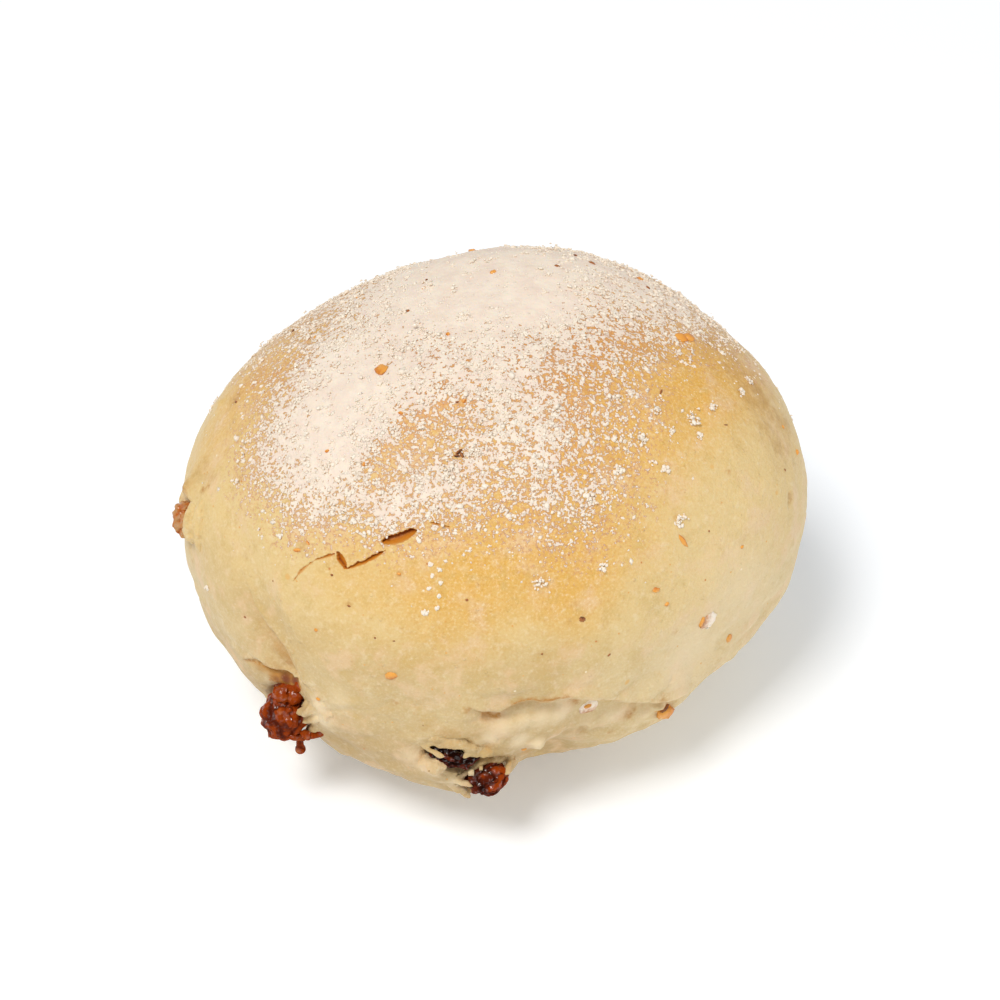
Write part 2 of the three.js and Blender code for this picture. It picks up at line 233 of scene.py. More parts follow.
# Flour sieved from above: plan place x and y and reach in millimetres, and weight; a negative weight is bare
DUSTING = [
    (-2, 22, 24, 0.95), (-6, 6, 17, 0.75), (-24, -6, 12, 0.8), (-20, -16, 9, 0.75),
    (-14, -24.5, 6.8, 0.6), (-2, -14, 10, 0.6), (5, -5, 11, 0.3), (12, -18, 10, 0.35), (4, -23.5, 8, 0.3),
    (22, 16, 13, 0.65), (34, 20, 9, 0.25), (-31, 15, 12, 0.35), (18, -4, 10, 0.28), (38, 9, 6, 0.1),
    (-28, -16, 8, 0.4), (-25, -22, 6, 0.5), (-5, -26, 5.2, 0.45), (8, 6, 8, 0.48), (25, 2, 5, 0.2),
    (-16, -27, 4, 0.4), (-33, -15, 5, 0.25), (9, -25.5, 6, 0.2), (-11, -12, 5, 0.4), (-9, -28, 4, 0.2),
    (-14, -7, 5, 0.25), (-11, -19, 4.5, -0.35), (-16, -22.5, 3.5, -0.55), (-6, -15, 3.5, -0.25),
    (11, -11, 3.5, -0.25), (-32, 3, 4.5, -0.25), (-8, -3, 3, -0.1), (-38, -1, 5, -0.35),
    (28, -6, 6, -0.5), (-30, -5, 3.5, -0.15),
]
# Golden and browned patches of the crust, in the same form
GOLDEN = [
    (-4, 6, 36, 0.8), (24, -6, 11, 0.6), (33, 3, 10, 0.55), (14, -21, 10, 0.5), (6, -29, 9, 0.6),
    (-6, -36, 10, 0.5), (-24, -26, 8, 0.2), (-41, -2, 8, 0.35), (-19, -35, 7, 0.3), (13, -33, 6, 0.35),
]
BROWNED = [
    (24, 4, 8, 0.25), (-35, 2, 6, 0.3), (14, 2, 9, 0.3), (10, -20, 8, 0.2), (10, 36, 12, 0.3),
    (-6, 4, 20, 0.45), (-20, -10, 14, 0.4), (6, -8, 14, 0.3),
]

# Clumps of flour that fell beside the rest: pixel and radius in millimetres
STRAY_CLUMPS = [
    ((692, 418), 1.1), ((712, 407), 0.7), ((681, 520), 0.9), ((540, 583), 0.9), ((425, 612), 0.4),
    ((604, 566), 0.5), ((452, 468), 0.9), ((478, 450), 0.9), ((448, 476), 0.8), ((741, 392), 0.6),
    ((748, 380), 0.6), ((665, 470), 0.6), ((640, 440), 0.8), ((655, 410), 0.7), ((618, 470), 0.7),
    ((590, 500), 0.8), ((700, 436), 0.4), ((672, 432), 0.6), ((708, 625), 0.5), ((207, 588), 0.4),
    ((430, 564), 0.2), ((432, 576), 0.2), ((440, 570), 0.22), ((441, 583), 0.2), ((439, 596), 0.2),
    ((437, 608), 0.18), ((429, 588), 0.18),
]

# Strands and films of torn dough: pixel x and y and radius in millimetres along each
STRANDS = [
    [(448, 738, 0.9), (460, 739, 1.1), (470, 742, 1.2), (480, 748, 1.3), (490, 754, 1.1),
     (500, 757, 0.9)],
    [(416, 746, 0.7), (426, 743, 0.9), (436, 741, 1.0), (446, 742, 1.0), (456, 743, 1.05),
     (465, 745, 1.1), (474, 750, 1.1), (484, 755, 1.0), (496, 757, 1.0)],
    [(420, 745, 0.5), (428, 749, 0.45), (436, 753, 0.5), (445, 757, 0.45)],
    [(421, 760, 1.0), (429, 761, 1.5), (438, 762, 1.7), (446, 765, 1.1)],
    [(423, 769, 1.1), (433, 769, 1.6), (444, 771, 1.3)],
    [(428, 776, 0.9), (440, 776, 0.9), (451, 778, 0.6)],
    [(517, 756, 1.0), (505, 758, 1.0), (493, 760, 0.95), (482, 762, 0.8), (474, 766, 0.6),
     (468, 772, 0.5), (462, 777, 0.5), (452, 780, 0.7), (440, 781, 0.9)],
    [(474, 752, 0.7), (467, 755, 0.45), (463, 758, 0.3)],
    [(446, 783, 1.0), (455, 788, 1.0), (463, 794, 0.8), (470, 798, 0.45)],
    [(452, 780, 0.8), (463, 782, 0.6), (473, 786, 0.35)],
    [(514, 760, 0.9), (511, 766, 0.7), (507, 772, 0.5), (505, 776, 0.3)],
    [(516, 763, 0.7), (511, 769, 0.5), (509, 773, 0.3)],
    [(323, 699, 1.2), (322, 708, 1.6), (324, 717, 1.7), (323, 726, 1.3)],
    [(318, 703, 1.0), (308, 704, 0.8), (300, 706, 0.4)],
    [(318, 710, 1.2), (306, 711, 0.9), (296, 713, 0.4)],
    [(320, 717, 1.2), (310, 719, 0.8), (302, 723, 0.4)],
    [(320, 724, 1.1), (311, 728, 0.8), (304, 732, 0.4)],
    [(312, 705, 0.7), (308, 712, 0.8), (308, 720, 0.7)],
]
# Dough that closes over the side raisin and above the front hollow, nearly flush with the skin:
# how deep each row sinks in the skin, as a share of its radius, and the row
COVERS = [
    (0.8, [(206, 490, 0.7), (205, 502, 1.2), (205, 514, 1.6), (205, 527, 1.7), (204, 540, 1.4),
           (203, 555, 0.7)]),
    (0.8, [(199, 486, 0.9), (195, 496, 1.4), (194, 506, 1.7), (195, 518, 1.8), (195, 530, 1.7),
           (196, 542, 1.3), (198, 555, 0.6)]),
    (0.1, [(202, 498, 0.5), (200, 510, 1.0), (199, 521, 1.3), (199, 531, 1.3), (199, 542, 1.0),
           (200, 553, 0.5)]),
    (0.2, [(428, 741, 0.5), (437, 739, 0.8), (447, 739, 0.9), (457, 740, 0.9), (466, 742, 0.8),
           (474, 746, 0.5)]),
]
# Syrup on the left raisin: pixel x and y and radius in millimetres along each row
SYRUP = [
    [(274, 697, 1.0), (281, 694, 1.5), (288, 693, 1.7), (295, 696, 1.6), (300, 702, 1.2)],
    [(276, 689, 0.8), (283, 687, 1.3), (290, 686, 1.5), (297, 689, 1.4), (302, 695, 1.0)],
    [(300, 731, 0.6), (306, 735, 0.8), (313, 737, 0.75), (319, 735, 0.8), (323, 733, 0.4)],
    [(290, 736, 0.8), (300, 737, 0.6), (306, 738, 0.5)],
]

# Bits in and on the skin: pixel, length and width in millimetres, turn in degrees, some with a thickness
PEEL = [
    ((682, 337), 1.9, 1.9, 20), ((689, 337), 1.7, 1.4, 70), ((381, 369), 2.3, 1.9, 40),
    ((493, 272), 1.1, 0.9, 0), ((448, 334), 0.8, 0.6, 30), ((729, 638), 1.6, 1.1, 80),
    ((656, 590), 1.3, 0.8, 160), ((667, 604), 0.7, 0.6, 0), ((683, 541), 2.6, 0.6, 110),
    ((797, 452), 1.0, 0.8, 0), ((391, 676), 1.7, 1.3, 20), ((316, 630), 0.6, 0.5, 0),
    ((364, 464), 0.7, 0.5, 90), ((327, 451), 0.7, 0.5, 60), ((401, 413), 0.8, 0.5, 10),
    ((464, 401), 0.7, 0.5, 50), ((742, 547), 0.6, 0.5, 0), ((524, 749), 0.9, 0.6, 0),
    ((424, 288), 0.7, 0.5, 0), ((315, 337), 0.6, 0.5, 0), ((664, 712), 2.8, 2.9, 80, 1.8),
    ((702, 622), 2.0, 0.7, 78), ((318, 699), 0.9, 0.5, 20), ((399, 574), 0.6, 0.4, 0),
    ((783, 427), 0.7, 0.5, 90), ((297, 550), 1.1, 0.5, 20), ((308, 543), 0.8, 0.35, 150),
    ((588, 706), 1.1, 0.7, 10),
]
FLAKES = [((708, 621), 3.0, 3.0, 250), ((589, 706), 3.2, 2.8, 0)]
SEEDS = [
    ((582, 619), 1.0, 0.7, 150), ((557, 266), 0.8, 0.6, 0), ((592, 263), 1.1, 0.6, 20),
    ((459, 452), 1.2, 0.5, 60, 0.9), ((457, 456), 0.9, 0.4, 20, 0.8), ((462, 455), 1.0, 0.45, 130, 0.9),
    ((661, 392), 1.1, 0.35, 10), ((332, 575), 0.4, 0.35, 0), ((709, 531), 0.3, 0.3, 0),
    ((542, 654), 0.35, 0.25, 0), ((375, 638), 0.3, 0.3, 0), ((467, 600), 0.45, 0.35, 0),
    ((273, 581), 0.25, 0.25, 0), ((349, 311), 0.9, 0.5, 30), ((408, 311), 0.6, 0.5, 0),
    ((648, 288), 0.9, 0.5, 0), ((236, 402), 0.8, 0.4, 40), ((609, 655), 0.6, 0.3, 40),
    ((664, 709), 2.0, 0.7, 52, 0.9), ((349, 606), 0.5, 0.3, 0), ((394, 641), 0.4, 0.2, 0),
    ((726, 425), 0.8, 0.25, 140), ((785, 470), 0.5, 0.3, 90), ((245, 617), 0.4, 0.3, 0),
    ((457, 402), 0.5, 0.3, 0),
]


class DoughProperties(bpy.types.PropertyGroup):
    """Sizes and colours of the dough."""

    voxel: FloatProperty(
        name="Skin division", description="Size of the even faces of the skin",
        default=0.72 * MM, unit="LENGTH")
    smoothing: IntProperty(
        name="Smoothing", description="How often the skin is relaxed", default=12)
    lump_height: FloatProperty(
        name="Lump height", description="Height of the slow lumps", default=0.3 * MM, unit="LENGTH")
    ripple_height: FloatProperty(
        name="Ripple height", description="Height of the small ripples", default=0.09 * MM, unit="LENGTH")
    pale: FloatVectorProperty(
        name="Pale crust", description="Colour of the low sides",
        subtype="COLOR", default=srgb(221, 196, 144))
    cream: FloatVectorProperty(
        name="Cream crust", description="Colour of the sides", subtype="COLOR", default=srgb(225, 196, 136))
    golden: FloatVectorProperty(
        name="Golden crust", description="Colour of the baked crown",
        subtype="COLOR", default=srgb(227, 176, 83))
    browned: FloatVectorProperty(
        name="Browned crust", description="Colour of the darkest crust",
        subtype="COLOR", default=srgb(212, 130, 40))
    torn: FloatVectorProperty(
        name="Torn dough", description="Colour inside the crack",
        subtype="COLOR", default=srgb(204, 128, 34))
    flour: FloatVectorProperty(
        name="Flour", description="Colour of the flour", subtype="COLOR", default=srgb(245, 230, 211))


class FlourProperties(bpy.types.PropertyGroup):
    """Amounts and sizes of the loose flour."""

    grains: IntProperty(name="Grains", description="Number of fine grains", default=10000)
    grain_radius: FloatProperty(
        name="Grain radius", description="Mean radius of a grain", default=0.16 * MM, unit="LENGTH")
    clumps: IntProperty(name="Clumps", description="Number of clumps", default=1500)
    crumb_radius: FloatProperty(
        name="Crumb radius", description="Mean radius of the crumbs of a clump",
        default=0.2 * MM, unit="LENGTH")


class RaisinProperties(bpy.types.PropertyGroup):
    """Sizes and colours of the raisins."""

    wrinkle_depth: FloatProperty(
        name="Wrinkle depth", description="Depth of the wrinkles", default=0.6 * MM, unit="LENGTH")
    # The dark skin is the darkest raisin's colour and the painted shade deep in the wrinkles
    dark: FloatVectorProperty(
        name="Dark skin", description="Colour in the wrinkles", subtype="COLOR", default=srgb(30, 8, 3))
    red: FloatVectorProperty(
        name="Red skin", description="Colour of dark skin", subtype="COLOR", default=srgb(88, 29, 10))
    amber: FloatVectorProperty(
        name="Amber flesh", description="Colour of thin, lit flesh",
        subtype="COLOR", default=srgb(146, 57, 10))
    honey: FloatVectorProperty(
        name="Honey flesh", description="Colour of the lightest flesh",
        subtype="COLOR", default=srgb(188, 108, 46))
    tan: FloatVectorProperty(
        name="Tan skin", description="Colour of a dry, light raisin",
        subtype="COLOR", default=srgb(192, 142, 92))


class StageProperties(bpy.types.PropertyGroup):
    """The camera, the lights and the floor."""

    elevation: FloatProperty(
        name="Elevation", description="Camera angle above the floor",
        default=math.radians(43), subtype="ANGLE")
    distance: FloatProperty(
        name="Distance", description="From the camera to its target", default=372 * MM, unit="LENGTH")
    target: FloatVectorProperty(
        name="Target", description="Point the camera looks at", subtype="XYZ", unit="LENGTH",
        default=(0.6 * MM, 2.2 * MM, 33.4 * MM))
    lens: FloatProperty(name="Lens", description="Focal length in millimetres", default=85)
    sensor: FloatProperty(name="Sensor", description="Sensor width in millimetres", default=36)
    sky: FloatProperty(name="Sky", description="Strength of the even light", default=0.46)
    key: FloatProperty(name="Key", description="Power of the key light", default=14.8, unit="POWER")
    fill: FloatProperty(name="Fill", description="Power of the side light", default=7.8, unit="POWER")
    spark: FloatProperty(
        name="Spark", description="Power of the small front light", default=0.14, unit="POWER")
    glow: FloatProperty(name="Glow", description="Light that comes through the floor", default=0.17)
    floor: FloatVectorProperty(
        name="Floor", description="Colour of the floor", subtype="COLOR", default=(0.936, 0.955, 0.981))


class BunProperties(bpy.types.PropertyGroup):
    """Everything about the bun that a user would change."""

    dough: PointerProperty(type=DoughProperties)
    flour: PointerProperty(type=FlourProperties)
    raisins: PointerProperty(type=RaisinProperties)
    stage: PointerProperty(type=StageProperties)


def link_object(name, data):
    """A new object of some data, in the scene."""
    piece = bpy.data.objects.new(name, data)
    bpy.context.scene.collection.objects.link(piece)
    return piece


def finish_piece(piece, material):
    """Gives a piece its material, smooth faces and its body."""
    piece.data.materials.clear()
    piece.data.materials.append(material)
    piece.data.polygons.foreach_set("use_smooth", [True] * len(piece.data.polygons))
    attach(piece, BODY)


def mesh_piece(name, shape):
    """An object of a bmesh, which is freed."""
    mesh = bpy.data.meshes.new(name)
    shape.to_mesh(mesh)
    shape.free()
    return link_object(name, mesh)


def merged_copy(node):
    """A bmesh of a solid's triangles with their shared corners joined."""
    shape = bmesh.new()
    shape.from_mesh(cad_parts[node].data)
    bmesh.ops.remove_doubles(shape, verts=shape.verts, dist=0.001 * MM)
    return shape


def points_of(mesh):
    """The places of a mesh's vertices."""
    flat = np.empty(len(mesh.vertices) * 3)
    mesh.vertices.foreach_get("co", flat)
    return flat.reshape(-1, 3)


def normals_of(mesh):
    """The normals of a mesh's vertices."""
    flat = np.empty(len(mesh.vertices) * 3)
    mesh.vertex_normals.foreach_get("vector", flat)
    return flat.reshape(-1, 3)


def set_points(mesh, points):
    """Moves a mesh's vertices to new places."""
    mesh.vertices.foreach_set("co", points.ravel())
    mesh.update()


def set_share(mesh, name, values):
    """Stores one number for each vertex, which the materials read."""
    layer = mesh.attributes.new(name, "FLOAT", "POINT")
    layer.data.foreach_set("value", np.asarray(values, dtype=np.float32))


def smooth_noise(points, size, seed):
    """Smooth noise of about -1 to 1 at each point, with lumps of that size."""
    shift = Vector(NOISE_STEP) * seed
    return np.array([noise.noise(Vector(p) / size + shift) for p in points])


def smoothstep(low, high, values):
    """Nothing at low, one at high, and a smooth rise between."""
    share = np.clip((values - low) / (high - low), 0, 1)
    return share * share * (3 - 2 * share)


def camera_axes(stage):
    """The place of the camera and its forward, right and up directions."""
    tilt = stage.elevation
    forward = Vector((0, math.cos(tilt), -math.sin(tilt)))
    up = Vector((0, math.sin(tilt), math.cos(tilt)))
    return Vector(stage.target) - forward * stage.distance, forward, Vector((1, 0, 0)), up


class Skin:
    """The surface of some pieces, which finds the place under a pixel of the photograph."""

    def __init__(self, stage, *pieces):
        corners, faces = [], []
        for piece in pieces:
            first = len(corners)
            corners += [v.co.copy() for v in piece.data.vertices]
            faces += [[first + k for k in p.vertices] for p in piece.data.polygons]
        self.tree = BVHTree.FromPolygons(corners, faces)
        self.stage = stage

    def ray(self, pixel):
        """The camera's place and the direction in which it sees a pixel."""
        eye, forward, right, up = camera_axes(self.stage)
        focal = self.stage.lens / self.stage.sensor * PHOTO_SIZE
        across = (pixel[0] - PHOTO_SIZE / 2) / focal
        above = (PHOTO_SIZE / 2 - pixel[1]) / focal
        return eye, (forward + right * across + up * above).normalized()

    def spot(self, pixel):
        """The point of the skin under a pixel and its normal, or the place beside the skin nearest to it."""
        eye, ray = self.ray(pixel)
        point, normal, _, _ = self.tree.ray_cast(eye, ray)
        if point is None:
            tries = [eye + ray * (self.stage.distance + step * MM) for step in range(-60, 60)]
            point = min(tries, key=lambda place: self.tree.find_nearest(place)[3])
            normal = self.tree.find_nearest(point)[1]
        return point, normal

    def line(self, pixels):
        """The skin's points and normals under a row of pixels."""
        spots = [self.spot(pixel) for pixel in pixels]
        return np.array([s[0] for s in spots]), np.array([s[1] for s in spots])


def beside_line(points, course, normals):
    """Each point's signed distance to the right of a line, its share along it, and its plain distance."""
    best = np.full(len(points), np.inf)
    side = np.zeros(len(points))
    share = np.zeros(len(points))
    steps = len(course) - 1
    for k in range(steps):
        along = course[k + 1] - course[k]
        rightward = np.cross(along, normals[k])
        rightward /= np.linalg.norm(rightward)
        offset = points - course[k]
        at = np.clip(offset @ along / (along @ along), 0, 1)
        gap = np.linalg.norm(offset - at[:, None] * along, axis=1)
        nearer = gap < best
        best[nearer] = gap[nearer]
        side[nearer] = np.sign((offset @ rightward))[nearer]
        share[nearer] = ((k + at) / steps)[nearer]
    return best * side, share, best


def between_ends(share, fade):
    """One along a line, falling to nothing over a share of it at each end."""
    return smoothstep(0, fade, share) * smoothstep(1, 1 - fade, share)


def plan_field(points, puffs):
    """How strongly the puffs cover each point, seen from above."""
    bare = np.ones(len(points))
    taken = np.zeros(len(points))
    for x, y, reach, weight in puffs:
        away = np.hypot(points[:, 0] - x * MM, points[:, 1] - y * MM) / (reach * MM)
        share = abs(weight) * np.exp(-np.power(away, 3))
        if weight > 0:
            bare *= 1 - share
        else:
            taken = np.maximum(taken, share)
    return np.clip(1 - bare, 0, 1) * (1 - taken)


def new_material(name):
    """A material with one principled shader, its node tree and the shader."""
    material = bpy.data.materials.new(name)
    material.use_nodes = True
    tree = material.node_tree
    tree.nodes.clear()
    output = tree.nodes.new("ShaderNodeOutputMaterial")
    shader = tree.nodes.new("ShaderNodeBsdfPrincipled")
    tree.links.new(shader.outputs["BSDF"], output.inputs["Surface"])
    return material, tree, shader


def add_node(tree, kind, inputs=None, **settings):
    """A node with its settings, whose inputs are numbers, colours or other nodes' sockets."""
    made = tree.nodes.new(kind)
    for name, value in settings.items():
        setattr(made, name, value)
    for name, value in (inputs or {}).items():
        if isinstance(value, bpy.types.NodeSocket):
            tree.links.new(value, made.inputs[name])
        else:
            made.inputs[name].default_value = value
    return made


def object_place(tree):
    """The place of a point in its object's own frame."""
    return add_node(tree, "ShaderNodeTexCoord").outputs["Object"]


def noise_node(tree, place, size, detail=2.0, roughness=0.5):
    """Noise with lumps of a size in metres."""
    values = {"Vector": place, "Scale": 1 / size, "Detail": detail, "Roughness": roughness}
    return add_node(tree, "ShaderNodeTexNoise", values).outputs["Fac"]


def math_node(tree, operation, first, second=0.0):
    """The result of one sum with two values."""
    made = add_node(tree, "ShaderNodeMath", {0: first, 1: second}, operation=operation)
    return made.outputs[0]


def ramp(tree, value, low, high, to_low=0.0, to_high=1.0):
    """A value carried smoothly from one range to another."""
    values = {"Value": value, "From Min": low, "From Max": high, "To Min": to_low, "To Max": to_high}
    return add_node(tree, "ShaderNodeMapRange", values, interpolation_type="SMOOTHSTEP").outputs["Result"]


def blend(tree, first, first_share, second, second_share):
    """The weighted sum of two values."""
    weighted = math_node(tree, "MULTIPLY", first, first_share)
    return math_node(tree, "ADD", weighted, math_node(tree, "MULTIPLY", second, second_share))


def mix_colour(tree, share, first, second):
    """A share of the second colour over the first."""
    made = add_node(tree, "ShaderNodeMix", data_type="RGBA")
    for socket, value in ((made.inputs[0], share), (made.inputs[6], first), (made.inputs[7], second)):
        if isinstance(value, bpy.types.NodeSocket):
            tree.links.new(value, socket)
        else:
            socket.default_value = value if isinstance(value, float) else (*value, 1)
    return made.outputs[2]


def attribute(tree, name):
    """The number that the mesh stores under a name."""
    return add_node(tree, "ShaderNodeAttribute", attribute_name=name).outputs["Fac"]


def speck_mask(tree, place, spacing, radius, share):
    """Round specks of a radius, in a share of cells that are spacing wide."""
    cells = add_node(tree, "ShaderNodeTexVoronoi", {"Vector": place, "Scale": 1 / spacing})
    near = ramp(tree, cells.outputs["Distance"], radius / spacing * 0.6, radius / spacing * 1.2, 1.0, 0.0)
    picked = add_node(tree, "ShaderNodeSeparateColor", {"Color": cells.outputs["Color"]}).outputs["Red"]
    return math_node(tree, "MULTIPLY", near, math_node(tree, "LESS_THAN", picked, share))


def add_bump(tree, shader, height, strength, distance):
    """Makes a shader look raised by a height."""
    bump = add_node(tree, "ShaderNodeBump", {"Height": height, "Strength": strength, "Distance": distance})
    tree.links.new(bump.outputs["Normal"], shader.inputs["Normal"])


def crust_material(dough):
    """Pale to golden crust with specks, torn places and a broken film of flour."""
    material, tree, shader = new_material("flour_dusted_crust")
    place = object_place(tree)
    broad = noise_node(tree, place, 12 * MM, 3.0)
    patchy = noise_node(tree, place, 3.2 * MM, 4.0, 0.65)
    mottled = noise_node(tree, place, 1.3 * MM, 3.0, 0.6)
    fine = noise_node(tree, place, 0.55 * MM, 3.0, 0.65)

    # Baked colour, from the pale sides to the golden crown, with a painted shade that darkens the foot
    uneven = math_node(tree, "SUBTRACT", blend(tree, broad, 0.5, patchy, 0.5), 0.5)
    warm = math_node(tree, "ADD", attribute(tree, "warm"), uneven)
    colour = mix_colour(tree, ramp(tree, warm, 0.1, 0.9), dough.pale, dough.cream)
    foot_shade = math_node(tree, "ADD", attribute(tree, "foot_shade"), uneven)
    colour = mix_colour(tree, ramp(tree, foot_shade, 0.1, 0.9, 0.0, 0.9), colour, FOOT_SHADE_TONE)
    bake = math_node(tree, "ADD", attribute(tree, "bake"), uneven)
    colour = mix_colour(tree, ramp(tree, bake, 0.1, 0.85), colour, dough.golden)
    colour = mix_colour(tree, ramp(tree, patchy, 0.5, 0.75, 0.0, 0.6), colour, DULL_TONE)
    colour = mix_colour(tree, ramp(tree, mottled, 0.52, 0.74, 0.0, 0.25), colour, LIGHT_TONE)
    rosy = noise_node(tree, place, 6 * MM, 3.0, 0.6)
    colour = mix_colour(tree, ramp(tree, rosy, 0.5, 0.7, 0.0, 0.6), colour, ROSY_TONE)
    tiny = noise_node(tree, place, 0.4 * MM, 2.0, 0.7)
    grit = ramp(tree, bake, 0.2, 0.9, 0.14, 0.5)
    darker = math_node(tree, "MULTIPLY", ramp(tree, tiny, 0.52, 0.7), grit)
    colour = mix_colour(tree, darker, colour, DARK_GRIT)
    lighter = math_node(tree, "MULTIPLY", ramp(tree, tiny, 0.48, 0.3), grit)
    colour = mix_colour(tree, lighter, colour, LIGHT_GRIT)
    # Creamy stretched dough, with painted light on the shaded lower right
    creamy_and_lit = ramp(tree, attribute(tree, "creamy_and_lit"), 0.0, 1.0, 0.0, 0.85)
    colour = mix_colour(tree, creamy_and_lit, colour, CREAMY_AND_LIT_TONE)
    brown = math_node(tree, "ADD", attribute(tree, "brown"), blend(tree, patchy, 0.7, fine, 0.5))
    colour = mix_colour(tree, ramp(tree, brown, 0.75, 1.4), colour, dough.browned)
    # Specks, painted shade, stains that are partly painted shade, and torn places with painted shade deep in
    # them
    for spacing, radius, share, tint in SPECKS:
        colour = mix_colour(tree, speck_mask(tree, place, spacing, radius, share), colour, tint)
    fold_shade = math_node(tree, "MULTIPLY", attribute(tree, "fold_shade"), ramp(tree, patchy, 0.3, 0.7, 0.5, 1.2))
    colour = mix_colour(tree, ramp(tree, fold_shade, 0.05, 1.0, 0.0, 0.9), colour, SHADE_TONE)
    # Stains, partly painted shade, darkest above the left raisin and in the tuck's notch
    stain_and_shade = math_node(tree, "MULTIPLY", attribute(tree, "stain_and_shade"), ramp(tree, fine, 0.25, 0.7, 0.5, 1.3))
    colour = mix_colour(tree, ramp(tree, stain_and_shade, 0.1, 0.9), colour, STAIN_AND_SHADE_TONE)
    colour = mix_colour(tree, ramp(tree, attribute(tree, "stain_and_shade"), 0.8, 1.5), colour, DARK_STAIN_AND_SHADE)
    torn = attribute(tree, "torn")
    colour = mix_colour(tree, ramp(tree, torn, 0.0, 0.4), colour, dough.torn)
    # Painted shade deep in the tears
    colour = mix_colour(tree, ramp(tree, torn, 0.45, 0.95), colour, TEAR_SHADE)

    # Flour, thick where its noise rises over a level that falls as more was sieved
    coverage = attribute(tree, "flour")
    clump = noise_node(tree, place, 1.1 * MM, 3.0, 0.6)
    grain = noise_node(tree, place, 0.46 * MM, 2.0, 0.6)
    powder = blend(tree, clump, 0.45, grain, 0.55)
    level = math_node(tree, "SUBTRACT", 0.638, math_node(tree, "MULTIPLY", coverage, 0.275))
    level = math_node(tree, "SUBTRACT", level, ramp(tree, coverage, 0.75, 1.0, 0.0, 0.1))
    excess = math_node(tree, "SUBTRACT", powder, level)
    dusted = ramp(tree, coverage, 0.0, 0.12)
    thick = math_node(tree, "MULTIPLY", ramp(tree, excess, -0.02, 0.03), dusted)
    film = math_node(tree, "MULTIPLY", ramp(tree, excess, -0.15, 0.1, 0.0, 0.25), dusted)
    dust = math_node(tree, "SUBTRACT", noise_node(tree, place, 0.3 * MM, 1.0), 0.72)
    dust = math_node(tree, "ADD", dust, math_node(tree, "MULTIPLY", attribute(tree, "haze"), 0.16))
    film = math_node(tree, "MAXIMUM", film, ramp(tree, dust, 0.0, 0.05, 0.0, 0.2))
    floury = math_node(tree, "MAXIMUM", thick, film)
    # A browned rim round the thick flour, darkened as a painted contact shadow
    browned_and_shaded_rim = math_node(tree, "MULTIPLY", ramp(tree, excess, -0.08, -0.02, 0.0, 0.75), dusted)
    colour = mix_colour(tree, browned_and_shaded_rim, colour, FLOUR_RIM_BROWN_AND_SHADE)
    white = mix_colour(tree, ramp(tree, patchy, 0.35, 0.65), DULL_FLOUR, dough.flour)
    colour = mix_colour(tree, floury, colour, white)
    tree.links.new(colour, shader.inputs["Base Color"])
    tree.links.new(ramp(tree, floury, 0.0, 1.0, 0.5, 0.95), shader.inputs["Roughness"])

    # Fine relief of the skin and the flour
    pimple = speck_mask(tree, place, 1.5 * MM, 0.28 * MM, 0.3)
    skin = blend(tree, fine, 0.3, mottled, 0.8)
    skin = math_node(tree, "ADD", skin, math_node(tree, "MULTIPLY", pimple, 0.25))
    height = math_node(tree, "ADD", skin, math_node(tree, "MULTIPLY", thick, 0.3))
    add_bump(tree, shader, height, 0.9, 0.32 * MM)
    shader.inputs["Subsurface Weight"].default_value = 0.12
    shader.inputs["Subsurface Radius"].default_value = (1.0, 0.6, 0.3)
    shader.inputs["Subsurface Scale"].default_value = 1.2 * MM
    shader.inputs["Specular IOR Level"].default_value = 0.35
    return material


def powder_material(dough):
    """Dry white flour."""
    material, tree, shader = new_material("loose_flour")
    place = object_place(tree)
    tone = ramp(tree, noise_node(tree, place, 1.5 * MM, 3.0), 0.3, 0.7)
    colour = mix_colour(tree, tone, dough.flour, LOOSE_FLOUR)
    tree.links.new(colour, shader.inputs["Base Color"])
    add_bump(tree, shader, noise_node(tree, place, 0.12 * MM, 2.0), 0.5, 0.05 * MM)
    shader.inputs["Roughness"].default_value = 0.95
    shader.inputs["Specular IOR Level"].default_value = 0.15
    return material


def raisin_material(raisins):
    """Sticky shrivelled skin, darker in its wrinkles as a painted shade and amber where it is thin, lighter on
    its swellings as painted light.
    """
    material, tree, shader = new_material("raisin_skin")
    place = object_place(tree)
    blotch = noise_node(tree, place, 1.3 * MM, 4.0, 0.65)
    # How light the skin is: its ripeness and random blotches, with painted light on the swellings and painted
    # shade in the wrinkles
    lit = blend(tree, attribute(tree, "wrinkle_light_and_shade"), 0.75, blotch, 0.6)
    lit = math_node(tree, "ADD", lit, math_node(tree, "SUBTRACT", attribute(tree, "ripe"), 0.53))
    colour = mix_colour(tree, ramp(tree, lit, 0.05, 0.4), raisins.dark, raisins.red)
    colour = mix_colour(tree, ramp(tree, lit, 0.4, 0.8), colour, raisins.amber)
    colour = mix_colour(tree, ramp(tree, lit, 0.85, 1.25), colour, raisins.honey)
    colour = mix_colour(tree, ramp(tree, lit, 1.2, 1.6), colour, raisins.tan)
    tree.links.new(colour, shader.inputs["Base Color"])
    glint = ramp(tree, noise_node(tree, place, 0.7 * MM, 2.0), 0.48, 0.58)
    glint = math_node(tree, "MULTIPLY", glint, attribute(tree, "wet"))
    tree.links.new(ramp(tree, glint, 0.0, 1.0, 0.4, 0.12), shader.inputs["Roughness"])
    tree.links.new(ramp(tree, glint, 0.0, 1.0, 0.02, 0.8), shader.inputs["Specular IOR Level"])
    add_bump(tree, shader, noise_node(tree, place, 0.6 * MM, 2.0), 1.0, 0.22 * MM)
    shader.inputs["Subsurface Weight"].default_value = 0.1
    shader.inputs["Subsurface Radius"].default_value = (1.0, 0.25, 0.06)
    shader.inputs["Subsurface Scale"].default_value = 0.8 * MM
    return material


